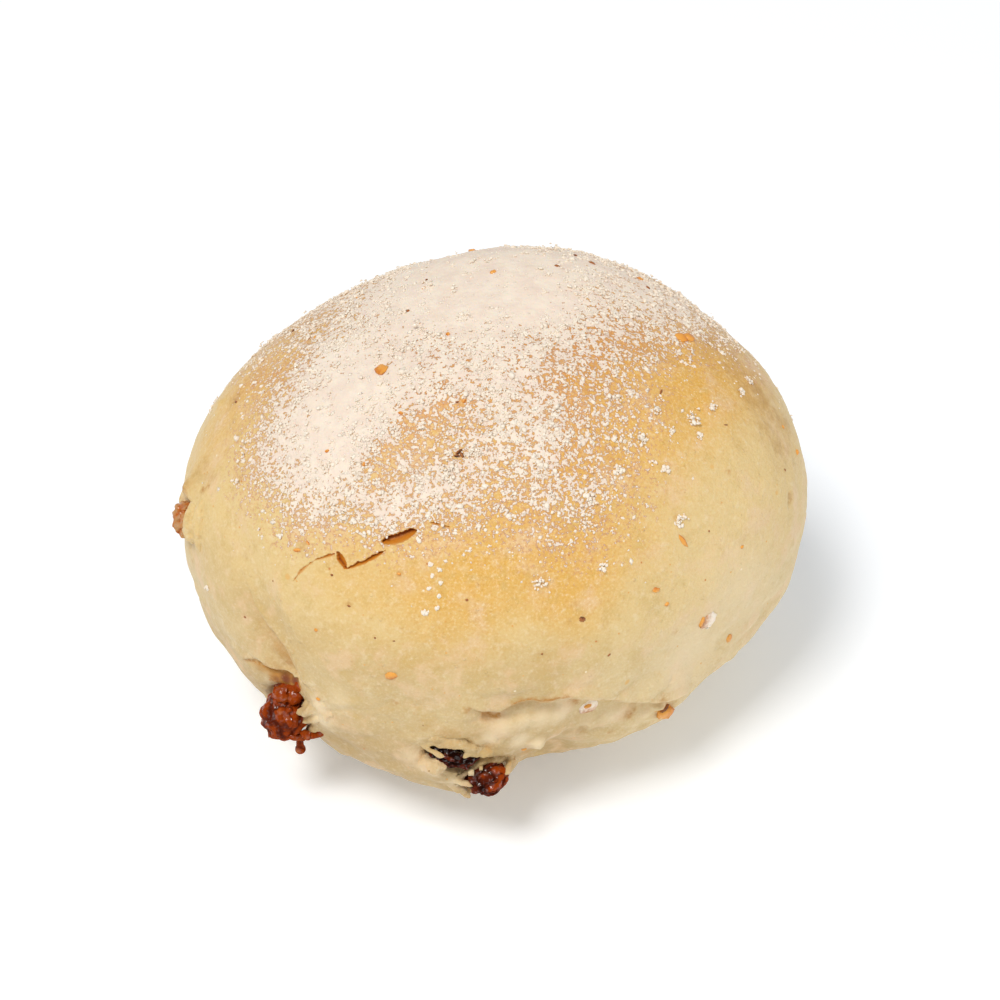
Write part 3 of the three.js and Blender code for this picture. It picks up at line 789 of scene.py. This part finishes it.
def bit_material(name, low, high, roughness):
    """A bit that runs from one colour to another by its own tint and fine noise."""
    material, tree, shader = new_material(name)
    place = object_place(tree)
    blotch = noise_node(tree, place, 0.5 * MM, 3.0, 0.6)
    tone = ramp(tree, blend(tree, attribute(tree, "tint"), 0.7, blotch, 0.6), 0.2, 0.8)
    tree.links.new(mix_colour(tree, tone, low, high), shader.inputs["Base Color"])
    add_bump(tree, shader, blotch, 0.6, 0.12 * MM)
    shader.inputs["Roughness"].default_value = roughness
    shader.inputs["Subsurface Weight"].default_value = 0.1
    shader.inputs["Subsurface Radius"].default_value = (1.0, 0.5, 0.2)
    shader.inputs["Subsurface Scale"].default_value = 0.5 * MM
    return material


def smooth_rounds(shape, corners, rounds):
    """Relaxes some corners of a bmesh, a number of times."""
    for _ in range(rounds):
        bmesh.ops.smooth_vert(
            shape, verts=corners, factor=0.5, use_axis_x=True, use_axis_y=True, use_axis_z=True)


def even_skin(piece, division, smoothing):
    """Remakes a piece's mesh with even faces of a size, and relaxes it."""
    coarse = piece.data
    remesh = piece.modifiers.new("Even skin", "REMESH")
    remesh.mode = "VOXEL"
    remesh.voxel_size = division
    even = bpy.data.meshes.new_from_object(piece.evaluated_get(bpy.context.evaluated_depsgraph_get()))
    piece.modifiers.clear()
    piece.data = even
    bpy.data.meshes.remove(coarse)
    shape = bmesh.new()
    shape.from_mesh(even)
    smooth_rounds(shape, shape.verts, smoothing)
    shape.to_mesh(even)
    shape.free()


def refine(piece, lines, reach):
    """Divides the faces that lie within reach of some lines."""
    shape = bmesh.new()
    shape.from_mesh(piece.data)
    points = np.array([v.co for v in shape.verts])
    close = np.min([beside_line(points, *line)[2] for line in lines], axis=0) < reach
    shape.verts.ensure_lookup_table()
    edges = [e for e in shape.edges if close[e.verts[0].index] and close[e.verts[1].index]]
    bmesh.ops.subdivide_edges(shape, edges=edges, cuts=1, use_grid_fill=True)
    bmesh.ops.triangulate(shape, faces=[f for f in shape.faces if len(f.verts) > 4])
    shape.to_mesh(piece.data)
    shape.free()


def spotted(points, skin, spots):
    """How strongly some spots, each a pixel with a reach and a strength, colour each point."""
    strongest = np.zeros(len(points))
    for pixel, reach, strength in spots:
        gap = np.linalg.norm(points - np.array(skin.spot(pixel)[0]), axis=1)
        strongest = np.maximum(strongest, strength * np.exp(-np.power(gap / (reach * MM), 2)))
    return strongest


def store_shares(mesh, skin, opened, fold_shading):
    """Keeps for each vertex how warm, baked, browned, stained, torn and floury it is, with the painted shade
    of its foot, folds, overhangs and tears, and the painted light where it is creamy.
    """
    points = points_of(mesh)
    # The height in millimetres sets how warm the sides are and how much painted shade darkens the low sides,
    # more in front, less so at the right
    z = points[:, 2] / MM
    high = smoothstep(30, 50, z)
    base = smoothstep(2.0, 0.3, z)
    set_share(mesh, "warm", smoothstep(26, 48, z) + 0.5 * base)
    front = smoothstep(5 * MM, -25 * MM, points[:, 1])
    foot_shade_share = 0.46 * smoothstep(54, 39.5, z) + 0.34 * smoothstep(32, 18, z)
    foot_shade_share *= (0.45 + 0.55 * front) * (1 - 0.6 * smoothstep(2 * MM, 28 * MM, points[:, 0]))
    set_share(mesh, "foot_shade", foot_shade_share * (1 - base))
    set_share(mesh, "bake", plan_field(points, GOLDEN) * high + 0.6 * base)
    set_share(mesh, "brown", plan_field(points, BROWNED) * high + 0.3 * base)
    stain_and_shade = spotted(points, skin, STAINS_AND_SHADE)
    for course, width, strength in SEAM_STAINS_AND_SHADE:
        _, share, gap = beside_line(points, *skin.line(course))
        strip = strength * np.exp(-np.power(gap / (width * MM), 2)) * between_ends(share, 0.2)
        stain_and_shade = np.maximum(stain_and_shade, strip)
    set_share(mesh, "stain_and_shade", stain_and_shade)
    set_share(mesh, "creamy_and_lit", spotted(points, skin, CREAMY_AND_LIT))
    set_share(mesh, "fold_shade", np.maximum(fold_shading, spotted(points, skin, SHADES)))
    # Flour lies only where the skin faces up and isn't torn
    slope = smoothstep(0.1, 0.6, normals_of(mesh)[:, 2])
    dry = slope * (1 - smoothstep(0, 0.2, opened))
    set_share(mesh, "flour", plan_field(points, DUSTING) * dry)
    wider = [(x, y, reach * 1.25, weight) for x, y, reach, weight in DUSTING if weight > 0]
    set_share(mesh, "haze", plan_field(points, wider) * dry)
    set_share(mesh, "torn", opened)


def relax(piece, line, reach, rounds):
    """Smooths a piece's skin within reach of a line."""
    shape = bmesh.new()
    shape.from_mesh(piece.data)
    close = beside_line(np.array([v.co for v in shape.verts]), *line)[2] < reach
    near = [v for v in shape.verts if close[v.index]]
    smooth_rounds(shape, near, rounds)
    shape.to_mesh(piece.data)
    shape.free()


class BUN_OT_dough(bpy.types.Operator):
    """Bake the dough: the skin with its folds, tears and lumps"""

    bl_idname = "bun.dough"
    bl_label = "Dough"

    def execute(self, context):
        dough, stage = context.scene.bun.dough, context.scene.bun.stage
        piece = mesh_piece("dough", merged_copy("bun"))
        even_skin(piece, dough.voxel, dough.smoothing)
        relax(piece, Skin(stage, piece).line(OLD_CREASE), CREASE_REACH, CREASE_ROUNDS)
        skin = Skin(stage, piece)
        tears = [skin.line(course) for course, *_ in TEARS]
        folds = [skin.line(course) for course, *_ in FOLDS]
        ridges = [skin.line(course) for course, *_ in RIDGES]
        refine(piece, folds + ridges + tears, LINE_REACH)
        refine(piece, tears + folds, FOLD_REACH)
        refine(piece, tears, TEAR_REACH)
        opened, fold_shading = self.shape_skin(piece.data, dough, skin, tears, folds, ridges)
        store_shares(piece.data, Skin(stage, piece), opened, fold_shading)
        finish_piece(piece, crust_material(dough))
        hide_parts("bun")
        return {"FINISHED"}

    def shape_skin(self, mesh, dough, skin, tears, folds, ridges):
        """Lifts and sinks the skin, and returns how far each vertex is torn open, which also sets the painted
        shade deep in the tears, and how deep the painted shade is where the skin is folded under.
        """
        points = points_of(mesh)
        normals = normals_of(mesh)
        # Slow lumps, small ripples and slack skin on the low sides
        rise = dough.lump_height * smooth_noise(points, 8 * MM, 1)
        rise += 0.5 * dough.lump_height * smooth_noise(points, 4 * MM, 6)
        rise += dough.ripple_height * smooth_noise(points, 1.9 * MM, 2)
        low = smoothstep(46, 26, points[:, 2] / MM)
        flow = points * np.array((0.75, 0.75, 1.35))
        rise += low * 0.35 * MM * smooth_noise(flow, 5 * MM, 21)
        rise -= low * 0.4 * MM * np.power(1 - np.abs(smooth_noise(flow, 7 * MM, 22)), 6)
        # The uneven band above the foot, and where the foot is drawn in
        band = smoothstep(21, 15, points[:, 2] / MM) * smoothstep(2, 5, points[:, 2] / MM)
        trim = smoothstep(24, 14, points[:, 2] / MM) * smoothstep(0.5, 5, points[:, 2] / MM)
        rise -= trim * smoothstep(5 * MM, -15 * MM, points[:, 1]) * 0.8 * MM
        shift = np.zeros(len(points))
        for across, half, depth in FOOT_CUTS:
            shift += depth * MM * np.exp(-np.power((points[:, 0] - across * MM) / (half * MM), 2))
        shift *= smoothstep(11, 3, points[:, 2] / MM) * smoothstep(-15 * MM, -27 * MM, points[:, 1])
        rise += band * 0.45 * MM * smooth_noise(points, 3.2 * MM, 23)
        # Folds, ridges and dents
        wander = 0.35 * MM * smooth_noise(points, 2.5 * MM, 7)
        fold_shading = np.zeros(len(points))
        for line, (_, drop, reach, lip, enter, leave) in zip(folds, FOLDS):
            right, share, gap = beside_line(points, *line)
            right = right + wander * (gap < 3 * MM)
            fall = smoothstep(-0.15 * MM, 0.25 * MM, right) * np.exp(-np.maximum(right, 0) / (reach * MM))
            edge = np.exp(-np.power((right + 0.7 * MM) / (0.9 * MM), 2))
            near = smoothstep(0, enter, share) * smoothstep(1, 1 - leave, share) * (gap < 9 * MM)
            rise += near * (lip * MM * edge - drop * MM * fall)
            # The painted shade that darkens the recess below each fold
            fold_shading = np.maximum(fold_shading, near * fall ** 2 * min(drop / 2.2, 1))
        for line, (_, width, height) in zip(ridges, RIDGES):
            _, share, gap = beside_line(points, *line)
            rise += height * MM * np.exp(-np.power(gap / (width * MM), 2)) * between_ends(share, 0.35)
        for pixel, reach, height in DIMPLES:
            gap = np.linalg.norm(points - np.array(skin.spot(pixel)[0]), axis=1)
            rise += height * MM * np.exp(-np.power(gap / (reach * MM), 2))
        # Tears with ragged edges, deeper on their left, where their colour darkens as a painted shade
        opened = np.zeros(len(points))
        ragged = 0.2 * MM * smooth_noise(points, 0.9 * MM, 3) + 0.12 * MM * smooth_noise(points, 0.35 * MM, 4)
        sunk = np.zeros(len(points))
        for line, (_, width, depth) in zip(tears, TEARS):
            right, share, gap = beside_line(points, *line)
            half = width * MM * np.sqrt(np.clip(4 * share * (1 - share), 0.001, 1))
            inside = smoothstep(half + 0.08 * MM, half - 0.06 * MM, gap + ragged * (gap < 2 * MM))
            under = inside * (1 - 0.75 * np.clip((right + half) / (2 * half), 0, 1))
            opened = np.maximum(opened, under * min(depth, 1))
            sunk = np.maximum(sunk, under * depth * MM)
            rise += 0.16 * MM * depth * np.exp(-np.power((gap - half) / (0.5 * MM), 2)) * (gap < 3 * MM)
        rise -= sunk
        moved = points + normals * rise[:, None]
        moved[:, 1] += shift
        set_points(mesh, moved)
        return opened, fold_shading


class BUN_OT_raisins(bpy.types.Operator):
    """Shrivel the raisins in their pockets and hang syrup on the left one"""

    bl_idname = "bun.raisins"
    bl_label = "Raisins"

    def execute(self, context):
        raisins, stage = context.scene.bun.raisins, context.scene.bun.stage
        material = raisin_material(raisins)
        pieces = [bpy.data.objects["dough"]]
        for seed, (node, ripe) in enumerate(RAISINS.items()):
            shape = merged_copy(node)
            bmesh.ops.subdivide_edges(shape, edges=shape.edges, cuts=3, use_grid_fill=True, smooth=0.5)
            piece = mesh_piece(node + "_skin", shape)
            mesh = piece.data
            points = points_of(mesh)
            normals = normals_of(mesh)
            middle = points.mean(axis=0)
            # Grooves run along the raisin, so its noise is stretched that way
            axes = np.linalg.svd(points - middle, full_matrices=False)[2]
            along = (points - middle) @ axes.T * np.array((0.4, 1, 1))
            deep = np.power(1 - np.abs(smooth_noise(along, 2.2 * MM, 10 + seed)), 6)
            fine = np.power(1 - np.abs(smooth_noise(along, 1.0 * MM, 15 + seed)), 6)
            grooves = np.maximum(deep, 0.6 * fine)
            crumbs = smooth_noise(points, 0.6 * MM, 20 + seed)
            bulk = smooth_noise(along, 2.6 * MM, 40 + seed)
            rise = 0.25 + 0.7 * bulk - 0.8 * grooves + 0.2 * crumbs
            drip = smoothstep(3.0, 2.2, (points[:, 2] - points[:, 2].min()) / MM) * (node == DRIPPING)
            rise = rise * (1 - drip) + 0.3 * drip
            set_points(mesh, points + normals * (raisins.wrinkle_depth * rise)[:, None])
            # The material lightens the swellings and darkens the grooves by this share, a painted light and
            # shade
            set_share(mesh, "wrinkle_light_and_shade", np.clip(0.75 + 0.3 * bulk + 0.2 * crumbs - grooves, 0, 1))
            set_share(mesh, "ripe", ripe + 0.16 * drip)
            set_share(mesh, "wet", smoothstep(-0.1, 0.5, normals_of(mesh)[:, 2]))
            finish_piece(piece, material)
            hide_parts(node)
            pieces.append(piece)
        skin = Skin(stage, *pieces)
        ground = Skin(stage, pieces[0])
        shape = bmesh.new()
        for row in SYRUP:
            add_strand(shape, skin, ground, row, STRAND_LIFT, STRAND_UNEVENNESS)
        bmesh.ops.recalc_face_normals(shape, faces=shape.faces)
        syrup = mesh_piece("raisin_syrup", shape)
        count = len(syrup.data.vertices)
        set_share(syrup.data, "wrinkle_light_and_shade", np.full(count, 0.7))
        set_share(syrup.data, "ripe", np.full(count, 0.6))
        set_share(syrup.data, "wet", smoothstep(-0.1, 0.5, normals_of(syrup.data)[:, 2]))
        finish_piece(syrup, material)
        return {"FINISHED"}


def smooth_course(rows, steps):
    """Points of a smooth curve through some rows of numbers."""
    rows = np.asarray(rows, dtype=float)
    padded = np.vstack([2 * rows[0] - rows[1], rows, 2 * rows[-1] - rows[-2]])
    course = []
    for k in range(1, len(padded) - 2):
        before, here, after, beyond = padded[k - 1:k + 3]
        for t in np.arange(steps) / steps:
            course.append(0.5 * (
                2 * here + (after - before) * t + (2 * before - 5 * here + 4 * after - beyond) * t ** 2
                + (3 * here - before - 3 * after + beyond) * t ** 3))
    course.append(padded[-2])
    return np.array(course)


def bridged(places, eye):
    """Places seen from the eye, drawn nearer where they would dip into a gap between their neighbours."""
    rays = places - eye
    depths = np.linalg.norm(rays, axis=1)
    rays = rays / depths[:, None]
    for _ in range(12):
        depths[1:-1] = np.minimum(depths[1:-1], (depths[:-2] + depths[2:]) / 2 + 0.2 * MM)
    return eye + rays * depths[:, None]


def add_strand(shape, skin, ground, row, lift, unevenness, sink=STRAND_SINK):
    """Adds an uneven tube along a row of pixels and radii, sunk in the ground and laid on the rest."""
    rows = []
    for x, y, radius in row:
        # A point on bare dough sinks in it, and one over a raisin lies on the raisin
        point, normal = skin.spot((x, y))
        sunk = (ground.spot((x, y))[0] - point).length < 0.02 * MM
        rows.append([*(point + normal * (-sink if sunk else lift) * radius * MM), radius * MM, *normal])
    rows = np.array(rows)
    rows[:, :3] = bridged(rows[:, :3], np.array(skin.ray((0, 0))[0]))
    course = smooth_course(rows, STRAND_RINGS)
    places, radii = course[:, :3], np.maximum(course[:, 3], 0.05 * MM)
    ends = np.sqrt(np.clip(np.minimum(np.arange(len(course)), np.arange(len(course))[::-1]) / 3, 0.05, 1))
    rings = []
    for k, place in enumerate(places):
        along = Vector(places[min(k + 1, len(places) - 1)] - places[max(k - 1, 0)]).normalized()
        out = Vector(course[k, 4:]).normalized()
        across = along.cross(out).normalized()
        out = across.cross(along)
        ring = []
        for angle in np.arange(STRAND_SIDES) / STRAND_SIDES * 2 * math.pi:
            toward = across * math.cos(angle) + out * math.sin(angle) * 0.8
            spot = Vector(place) + toward * radii[k] * ends[k]
            spot += toward * radii[k] * unevenness * noise.noise(spot / (0.9 * MM))
            ring.append(shape.verts.new(spot))
        rings.append(ring)
    for first, second in zip(rings, rings[1:]):
        for k in range(STRAND_SIDES):
            beside = (k + 1) % STRAND_SIDES
            shape.faces.new((first[k], second[k], second[beside], first[beside]))
    shape.faces.new(rings[0])
    shape.faces.new(rings[-1][::-1])


class BUN_OT_shreds(bpy.types.Operator):
    """Lay strands and films of torn dough over the raisins"""

    bl_idname = "bun.shreds"
    bl_label = "Dough shreds"

    def execute(self, context):
        stage = context.scene.bun.stage
        under = [bpy.data.objects["dough"]] + [bpy.data.objects[node + "_skin"] for node in RAISINS]
        skin = Skin(stage, *under)
        ground = Skin(stage, under[0])
        shape = bmesh.new()
        for row in STRANDS:
            add_strand(shape, skin, ground, row, STRAND_LIFT, STRAND_UNEVENNESS)
        for sink, row in COVERS:
            add_strand(shape, skin, ground, row, COVER_LIFT, COVER_UNEVENNESS, sink)
        bmesh.ops.recalc_face_normals(shape, faces=shape.faces)
        piece = mesh_piece("dough_shreds", shape)
        even_skin(piece, SHRED_VOXEL, 3)
        points = points_of(piece.data)
        rough = 0.16 * MM * smooth_noise(points, 1.2 * MM, 14)
        rough += 0.07 * MM * smooth_noise(points, 0.5 * MM, 15)
        set_points(piece.data, points + normals_of(piece.data) * rough[:, None])
        nothing = np.zeros(len(points))
        store_shares(piece.data, ground, nothing, nothing)
        finish_piece(piece, bpy.data.materials["flour_dusted_crust"])
        return {"FINISHED"}


def add_bit(shape, point, normal, length, width, turn, thick, seed, rough=1.0):
    """Adds an uneven, flattened lump to a bmesh, half sunk in the skin, with a tint that runs along it."""
    tint = shape.verts.layers.float.get("tint") or shape.verts.layers.float.new("tint")
    tilt = Vector(normal).to_track_quat("Z", "Y").to_matrix().to_4x4()
    size = Matrix.Diagonal((length / 2 * MM, width / 2 * MM, thick / 2 * MM, 1))
    place = Matrix.Translation(point) @ tilt @ Matrix.Rotation(math.radians(turn), 4, "Z")
    made = bmesh.ops.create_icosphere(shape, subdivisions=3, radius=1)["verts"]
    for corner in made:
        swell = 1 + 0.4 * rough * noise.noise(corner.co * 1.3 + Vector((seed * 3.7, 0, 0)))
        swell += 0.25 * rough * noise.noise(corner.co * 3.1 + Vector((0, seed * 2.3, 0)))
        corner[tint] = 0.5 + 0.5 * corner.co.y
        corner.co = place @ (size @ (corner.co * swell))


class BUN_OT_bits(bpy.types.Operator):
    """Set chips of peel, pale flakes and dark seeds in the skin"""

    bl_idname = "bun.bits"
    bl_label = "Bits"

    # Name and rows, number of others at the back with their size and thickness in millimetres,
    # two colours and roughness
    kinds = (
        ("pale_flakes", FLAKES, 4, 2.4, 0.7, srgb(188, 118, 46), srgb(252, 236, 214), 0.7),
        ("peel_chips", PEEL, 14, 1.1, 0.5, srgb(204, 114, 22), srgb(236, 164, 68), 0.35),
        ("dark_seeds", SEEDS, 16, 0.6, 0.4, srgb(70, 30, 8), srgb(164, 98, 40), 0.45),
    )

    def execute(self, context):
        dough = bpy.data.objects["dough"]
        pieces = [dough]
        points = points_of(dough.data)
        behind = ((points[:, 1] > BACK_FROM) & (points[:, 2] > BACK_ABOVE)).astype(float)
        chance = np.random.default_rng(BITS_SEED)
        for name, rows, spare, size, thick, low, high, roughness in self.kinds:
            skin = Skin(context.scene.bun.stage, *pieces)
            shape = bmesh.new()
            for seed, (pixel, length, width, turn, *depth) in enumerate(rows):
                point, normal = skin.spot(pixel)
                deep = depth[0] if depth else min(thick, width * 0.8)
                add_bit(shape, point, normal, length, width, turn, deep, seed, 0.8)
            places, normals = scatter(dough.data, spare, behind, chance)
            for seed, (point, normal) in enumerate(zip(places, normals)):
                length = size * chance.uniform(0.5, 1.3)
                width = length * chance.uniform(0.5, 0.9)
                turn = chance.uniform(0, 180)
                add_bit(shape, point, normal, length, width, turn, min(thick, width), 50 + seed)
            piece = mesh_piece(name, shape)
            finish_piece(piece, bit_material(name, low, high, roughness))
            pieces.append(piece)
        return {"FINISHED"}


def scatter(mesh, count, weights, chance):
    """Random places on a mesh, as points and normals; weights gives each vertex's share."""
    mesh.calc_loop_triangles()
    corners = np.empty(len(mesh.loop_triangles) * 3, dtype=np.int32)
    mesh.loop_triangles.foreach_get("vertices", corners)
    corners = corners.reshape(-1, 3)
    points = points_of(mesh)
    normals = normals_of(mesh)
    a, b, c = (points[corners[:, k]] for k in range(3))
    areas = np.linalg.norm(np.cross(b - a, c - a), axis=1) / 2
    share = areas * weights[corners].mean(axis=1)
    picked = chance.choice(len(corners), size=count, p=share / share.sum())
    u, v = chance.random(count), chance.random(count)
    over = u + v > 1
    u[over], v[over] = 1 - u[over], 1 - v[over]
    mix = np.stack([1 - u - v, u, v], axis=1)[:, :, None]
    places = (points[corners[picked]] * mix).sum(axis=1)
    normals = (normals[corners[picked]] * mix).sum(axis=1)
    return places, normals / np.linalg.norm(normals, axis=1, keepdims=True)


def crumb_shape():
    """Corners and faces of a crumb with twenty faces."""
    lump = bmesh.new()
    bmesh.ops.create_icosphere(lump, subdivisions=1, radius=1)
    corners = np.array([v.co for v in lump.verts])
    faces = np.array([[v.index for v in f.verts] for f in lump.faces])
    lump.free()
    return corners, faces


def grain_shape():
    """Corners and faces of a grain with eight faces."""
    corners = np.array([(1, 0, 0), (-1, 0, 0), (0, 1, 0), (0, -1, 0), (0, 0, 1), (0, 0, -1)], dtype=float)
    upper = [(0, 2, 4), (2, 1, 4), (1, 3, 4), (3, 0, 4)]
    lower = [(2, 0, 5), (1, 2, 5), (3, 1, 5), (0, 3, 5)]
    return corners, np.array(upper + lower)


def joined_lumps(name, places, normals, radii, lump, chance):
    """One mesh of many uneven lumps, each turned, stretched and flattened at random."""
    corners, faces = lump
    count = len(places)
    corners = corners * chance.uniform(0.65, 1.35, size=(count, len(corners), 1))
    corners = corners * chance.uniform(0.6, 1.3, size=(count, 1, 3)) * np.array((1, 1, 0.6))
    first = np.cross(normals, chance.normal(size=(count, 3)))
    first /= np.linalg.norm(first, axis=1, keepdims=True)
    second = np.cross(normals, first)
    turned = corners[:, :, :1] * first[:, None] + corners[:, :, 1:2] * second[:, None]
    turned = turned + corners[:, :, 2:] * normals[:, None]
    points = (turned * radii[:, None, None] + places[:, None]).reshape(-1, 3)
    loops = (faces[None] + (np.arange(count) * corners.shape[1])[:, None, None]).reshape(-1)
    mesh = bpy.data.meshes.new(name)
    mesh.vertices.add(len(points))
    mesh.vertices.foreach_set("co", points.ravel())
    mesh.loops.add(len(loops))
    mesh.loops.foreach_set("vertex_index", loops.astype(np.int32))
    mesh.polygons.add(len(loops) // 3)
    mesh.polygons.foreach_set("loop_start", np.arange(0, len(loops), 3, dtype=np.int32))
    mesh.update(calc_edges=True)
    mesh.validate()
    return link_object(name, mesh)


class BUN_OT_flour(bpy.types.Operator):
    """Dust the crown with clumps and grains of flour"""

    bl_idname = "bun.flour"
    bl_label = "Flour"

    def execute(self, context):
        flour, dough = context.scene.bun.flour, context.scene.bun.dough
        piece = bpy.data.objects["dough"]
        mesh = piece.data
        coverage = np.empty(len(mesh.vertices), dtype=np.float32)
        mesh.attributes["flour"].data.foreach_get("value", coverage)
        coverage = coverage.astype(float)
        points = points_of(mesh)
        uneven = smooth_noise(points, 2.2 * MM, 5) + 0.6 * smooth_noise(points, 6 * MM, 13)
        patches = smoothstep(-0.4, 0.4, uneven)
        material = powder_material(dough)
        chance = np.random.default_rng(FLOUR_SEED)

        # Grains lie mostly where the film of flour is thin
        loose = 1 - 0.9 * smoothstep(0.72, 0.96, coverage)
        places, normals = scatter(mesh, flour.grains, coverage ** 1.1 * (0.2 + patches) * loose, chance)
        radii = flour.grain_radius * np.exp(0.4 * chance.normal(size=flour.grains))
        grains = joined_lumps("flour_grains", places, normals, radii, grain_shape(), chance)
        finish_piece(grains, material)

        # Clumps are small heaps of crumbs, at random and at the stray places
        skin = Skin(context.scene.bun.stage, piece)
        middles, leans = scatter(mesh, flour.clumps, coverage ** 1.3 * (0.1 + patches) * loose, chance)
        spreads = 0.22 * MM * np.exp(0.45 * chance.normal(size=flour.clumps))
        crumbs = chance.integers(2, 8, size=flour.clumps)
        strays = [(*skin.spot(pixel), radius * MM) for pixel, radius in STRAY_CLUMPS]
        middles = np.vstack([middles, [s[0] for s in strays]])
        leans = np.vstack([leans, [s[1] for s in strays]])
        spreads = np.append(spreads, [0.55 * s[2] for s in strays])
        crumbs = np.append(crumbs, [8 + int(24 * s[2] / MM) for s in strays])
        places = np.repeat(middles, crumbs, axis=0)
        normals = np.repeat(leans, crumbs, axis=0)
        spread = np.repeat(spreads, crumbs)
        offset = chance.normal(size=places.shape) * spread[:, None]
        offset -= normals * (offset * normals).sum(axis=1, keepdims=True)
        heap = np.abs(chance.normal(size=len(places))) * spread * 0.5
        places = places + offset + normals * heap[:, None]
        radii = flour.crumb_radius * np.exp(0.3 * chance.normal(size=len(places)))
        clumps = joined_lumps("flour_clumps", places, normals, radii, crumb_shape(), chance)
        finish_piece(clumps, material)
        return {"FINISHED"}


def area_light(name, place, size, power):
    """A square light at a place, aimed at the bun."""
    light = bpy.data.lights.new(name, "AREA")
    light.size = size
    light.energy = power
    light.color = LIGHT_COLOUR
    lamp = link_object(name, light)
    lamp.location = place
    lamp.rotation_euler = (Vector(LIGHT_AIM) - Vector(place)).to_track_quat("-Z", "Y").to_euler()


class BUN_OT_stage(bpy.types.Operator):
    """Set the camera, the lights and the floor"""

    bl_idname = "bun.stage"
    bl_label = "Stage"

    def execute(self, context):
        stage = context.scene.bun.stage
        eye, forward, _, _ = camera_axes(stage)
        camera = bpy.data.cameras.new("camera")
        camera.lens = stage.lens
        camera.sensor_width = stage.sensor
        camera.clip_start = 0.01
        viewer = link_object("camera", camera)
        viewer.location = eye
        viewer.rotation_euler = forward.to_track_quat("-Z", "Y").to_euler()
        context.scene.camera = viewer

        world = bpy.data.worlds.new("studio")
        world.use_nodes = True
        sky = world.node_tree.nodes["Background"]
        sky.inputs["Color"].default_value = SKY_COLOUR
        sky.inputs["Strength"].default_value = stage.sky
        context.scene.world = world
        area_light("key", KEY_PLACE, KEY_SIZE, stage.key)
        area_light("fill", FILL_PLACE, FILL_SIZE, stage.fill)
        area_light("spark", SPARK_PLACE, SPARK_SIZE, stage.spark)

        shape = bmesh.new()
        bmesh.ops.create_grid(shape, x_segments=8, y_segments=8, size=FLOOR_HALF)
        floor = mesh_piece("floor", shape)
        material, tree, shader = new_material("pale_floor")
        tone = ramp(tree, noise_node(tree, object_place(tree), 0.3, 2.0), 0.3, 0.7)
        colour = mix_colour(tree, tone, tuple(0.99 * c for c in stage.floor), stage.floor)
        tree.links.new(colour, shader.inputs["Base Color"])
        shader.inputs["Roughness"].default_value = 0.9
        shader.inputs["Specular IOR Level"].default_value = 0.1
        shader.inputs["Emission Color"].default_value = GLOW_COLOUR
        shader.inputs["Emission Strength"].default_value = stage.glow
        floor.data.materials.append(material)
        context.scene.view_settings.view_transform = "Standard"
        return {"FINISHED"}


class BUN_PT_panel(bpy.types.Panel):
    """Lists the steps that bake the bun"""

    bl_idname = "BUN_PT_panel"
    bl_label = "Raisin Bun"
    bl_space_type = "VIEW_3D"
    bl_region_type = "UI"
    bl_category = "Bun"

    def draw(self, context):
        for step in STEPS:
            self.layout.operator(step.bl_idname)


STEPS = (BUN_OT_stage, BUN_OT_dough, BUN_OT_raisins, BUN_OT_shreds, BUN_OT_bits, BUN_OT_flour)
GROUPS = (DoughProperties, FlourProperties, RaisinProperties, StageProperties, BunProperties)
CLASSES = (*GROUPS, *STEPS, BUN_PT_panel)


def register():
    """Makes the classes and the properties known."""
    for kind in CLASSES:
        bpy.utils.register_class(kind)
    bpy.types.Scene.bun = PointerProperty(type=BunProperties)


def unregister():
    """Takes the properties and the classes away again."""
    del bpy.types.Scene.bun
    for kind in reversed(CLASSES):
        bpy.utils.unregister_class(kind)


def main():
    """Makes the whole scene."""
    register()
    bpy.ops.bun.stage()
    bpy.ops.bun.dough()
    bpy.ops.bun.raisins()
    bpy.ops.bun.shreds()
    bpy.ops.bun.bits()
    bpy.ops.bun.flour()


if __name__ == "__main__":
    main()
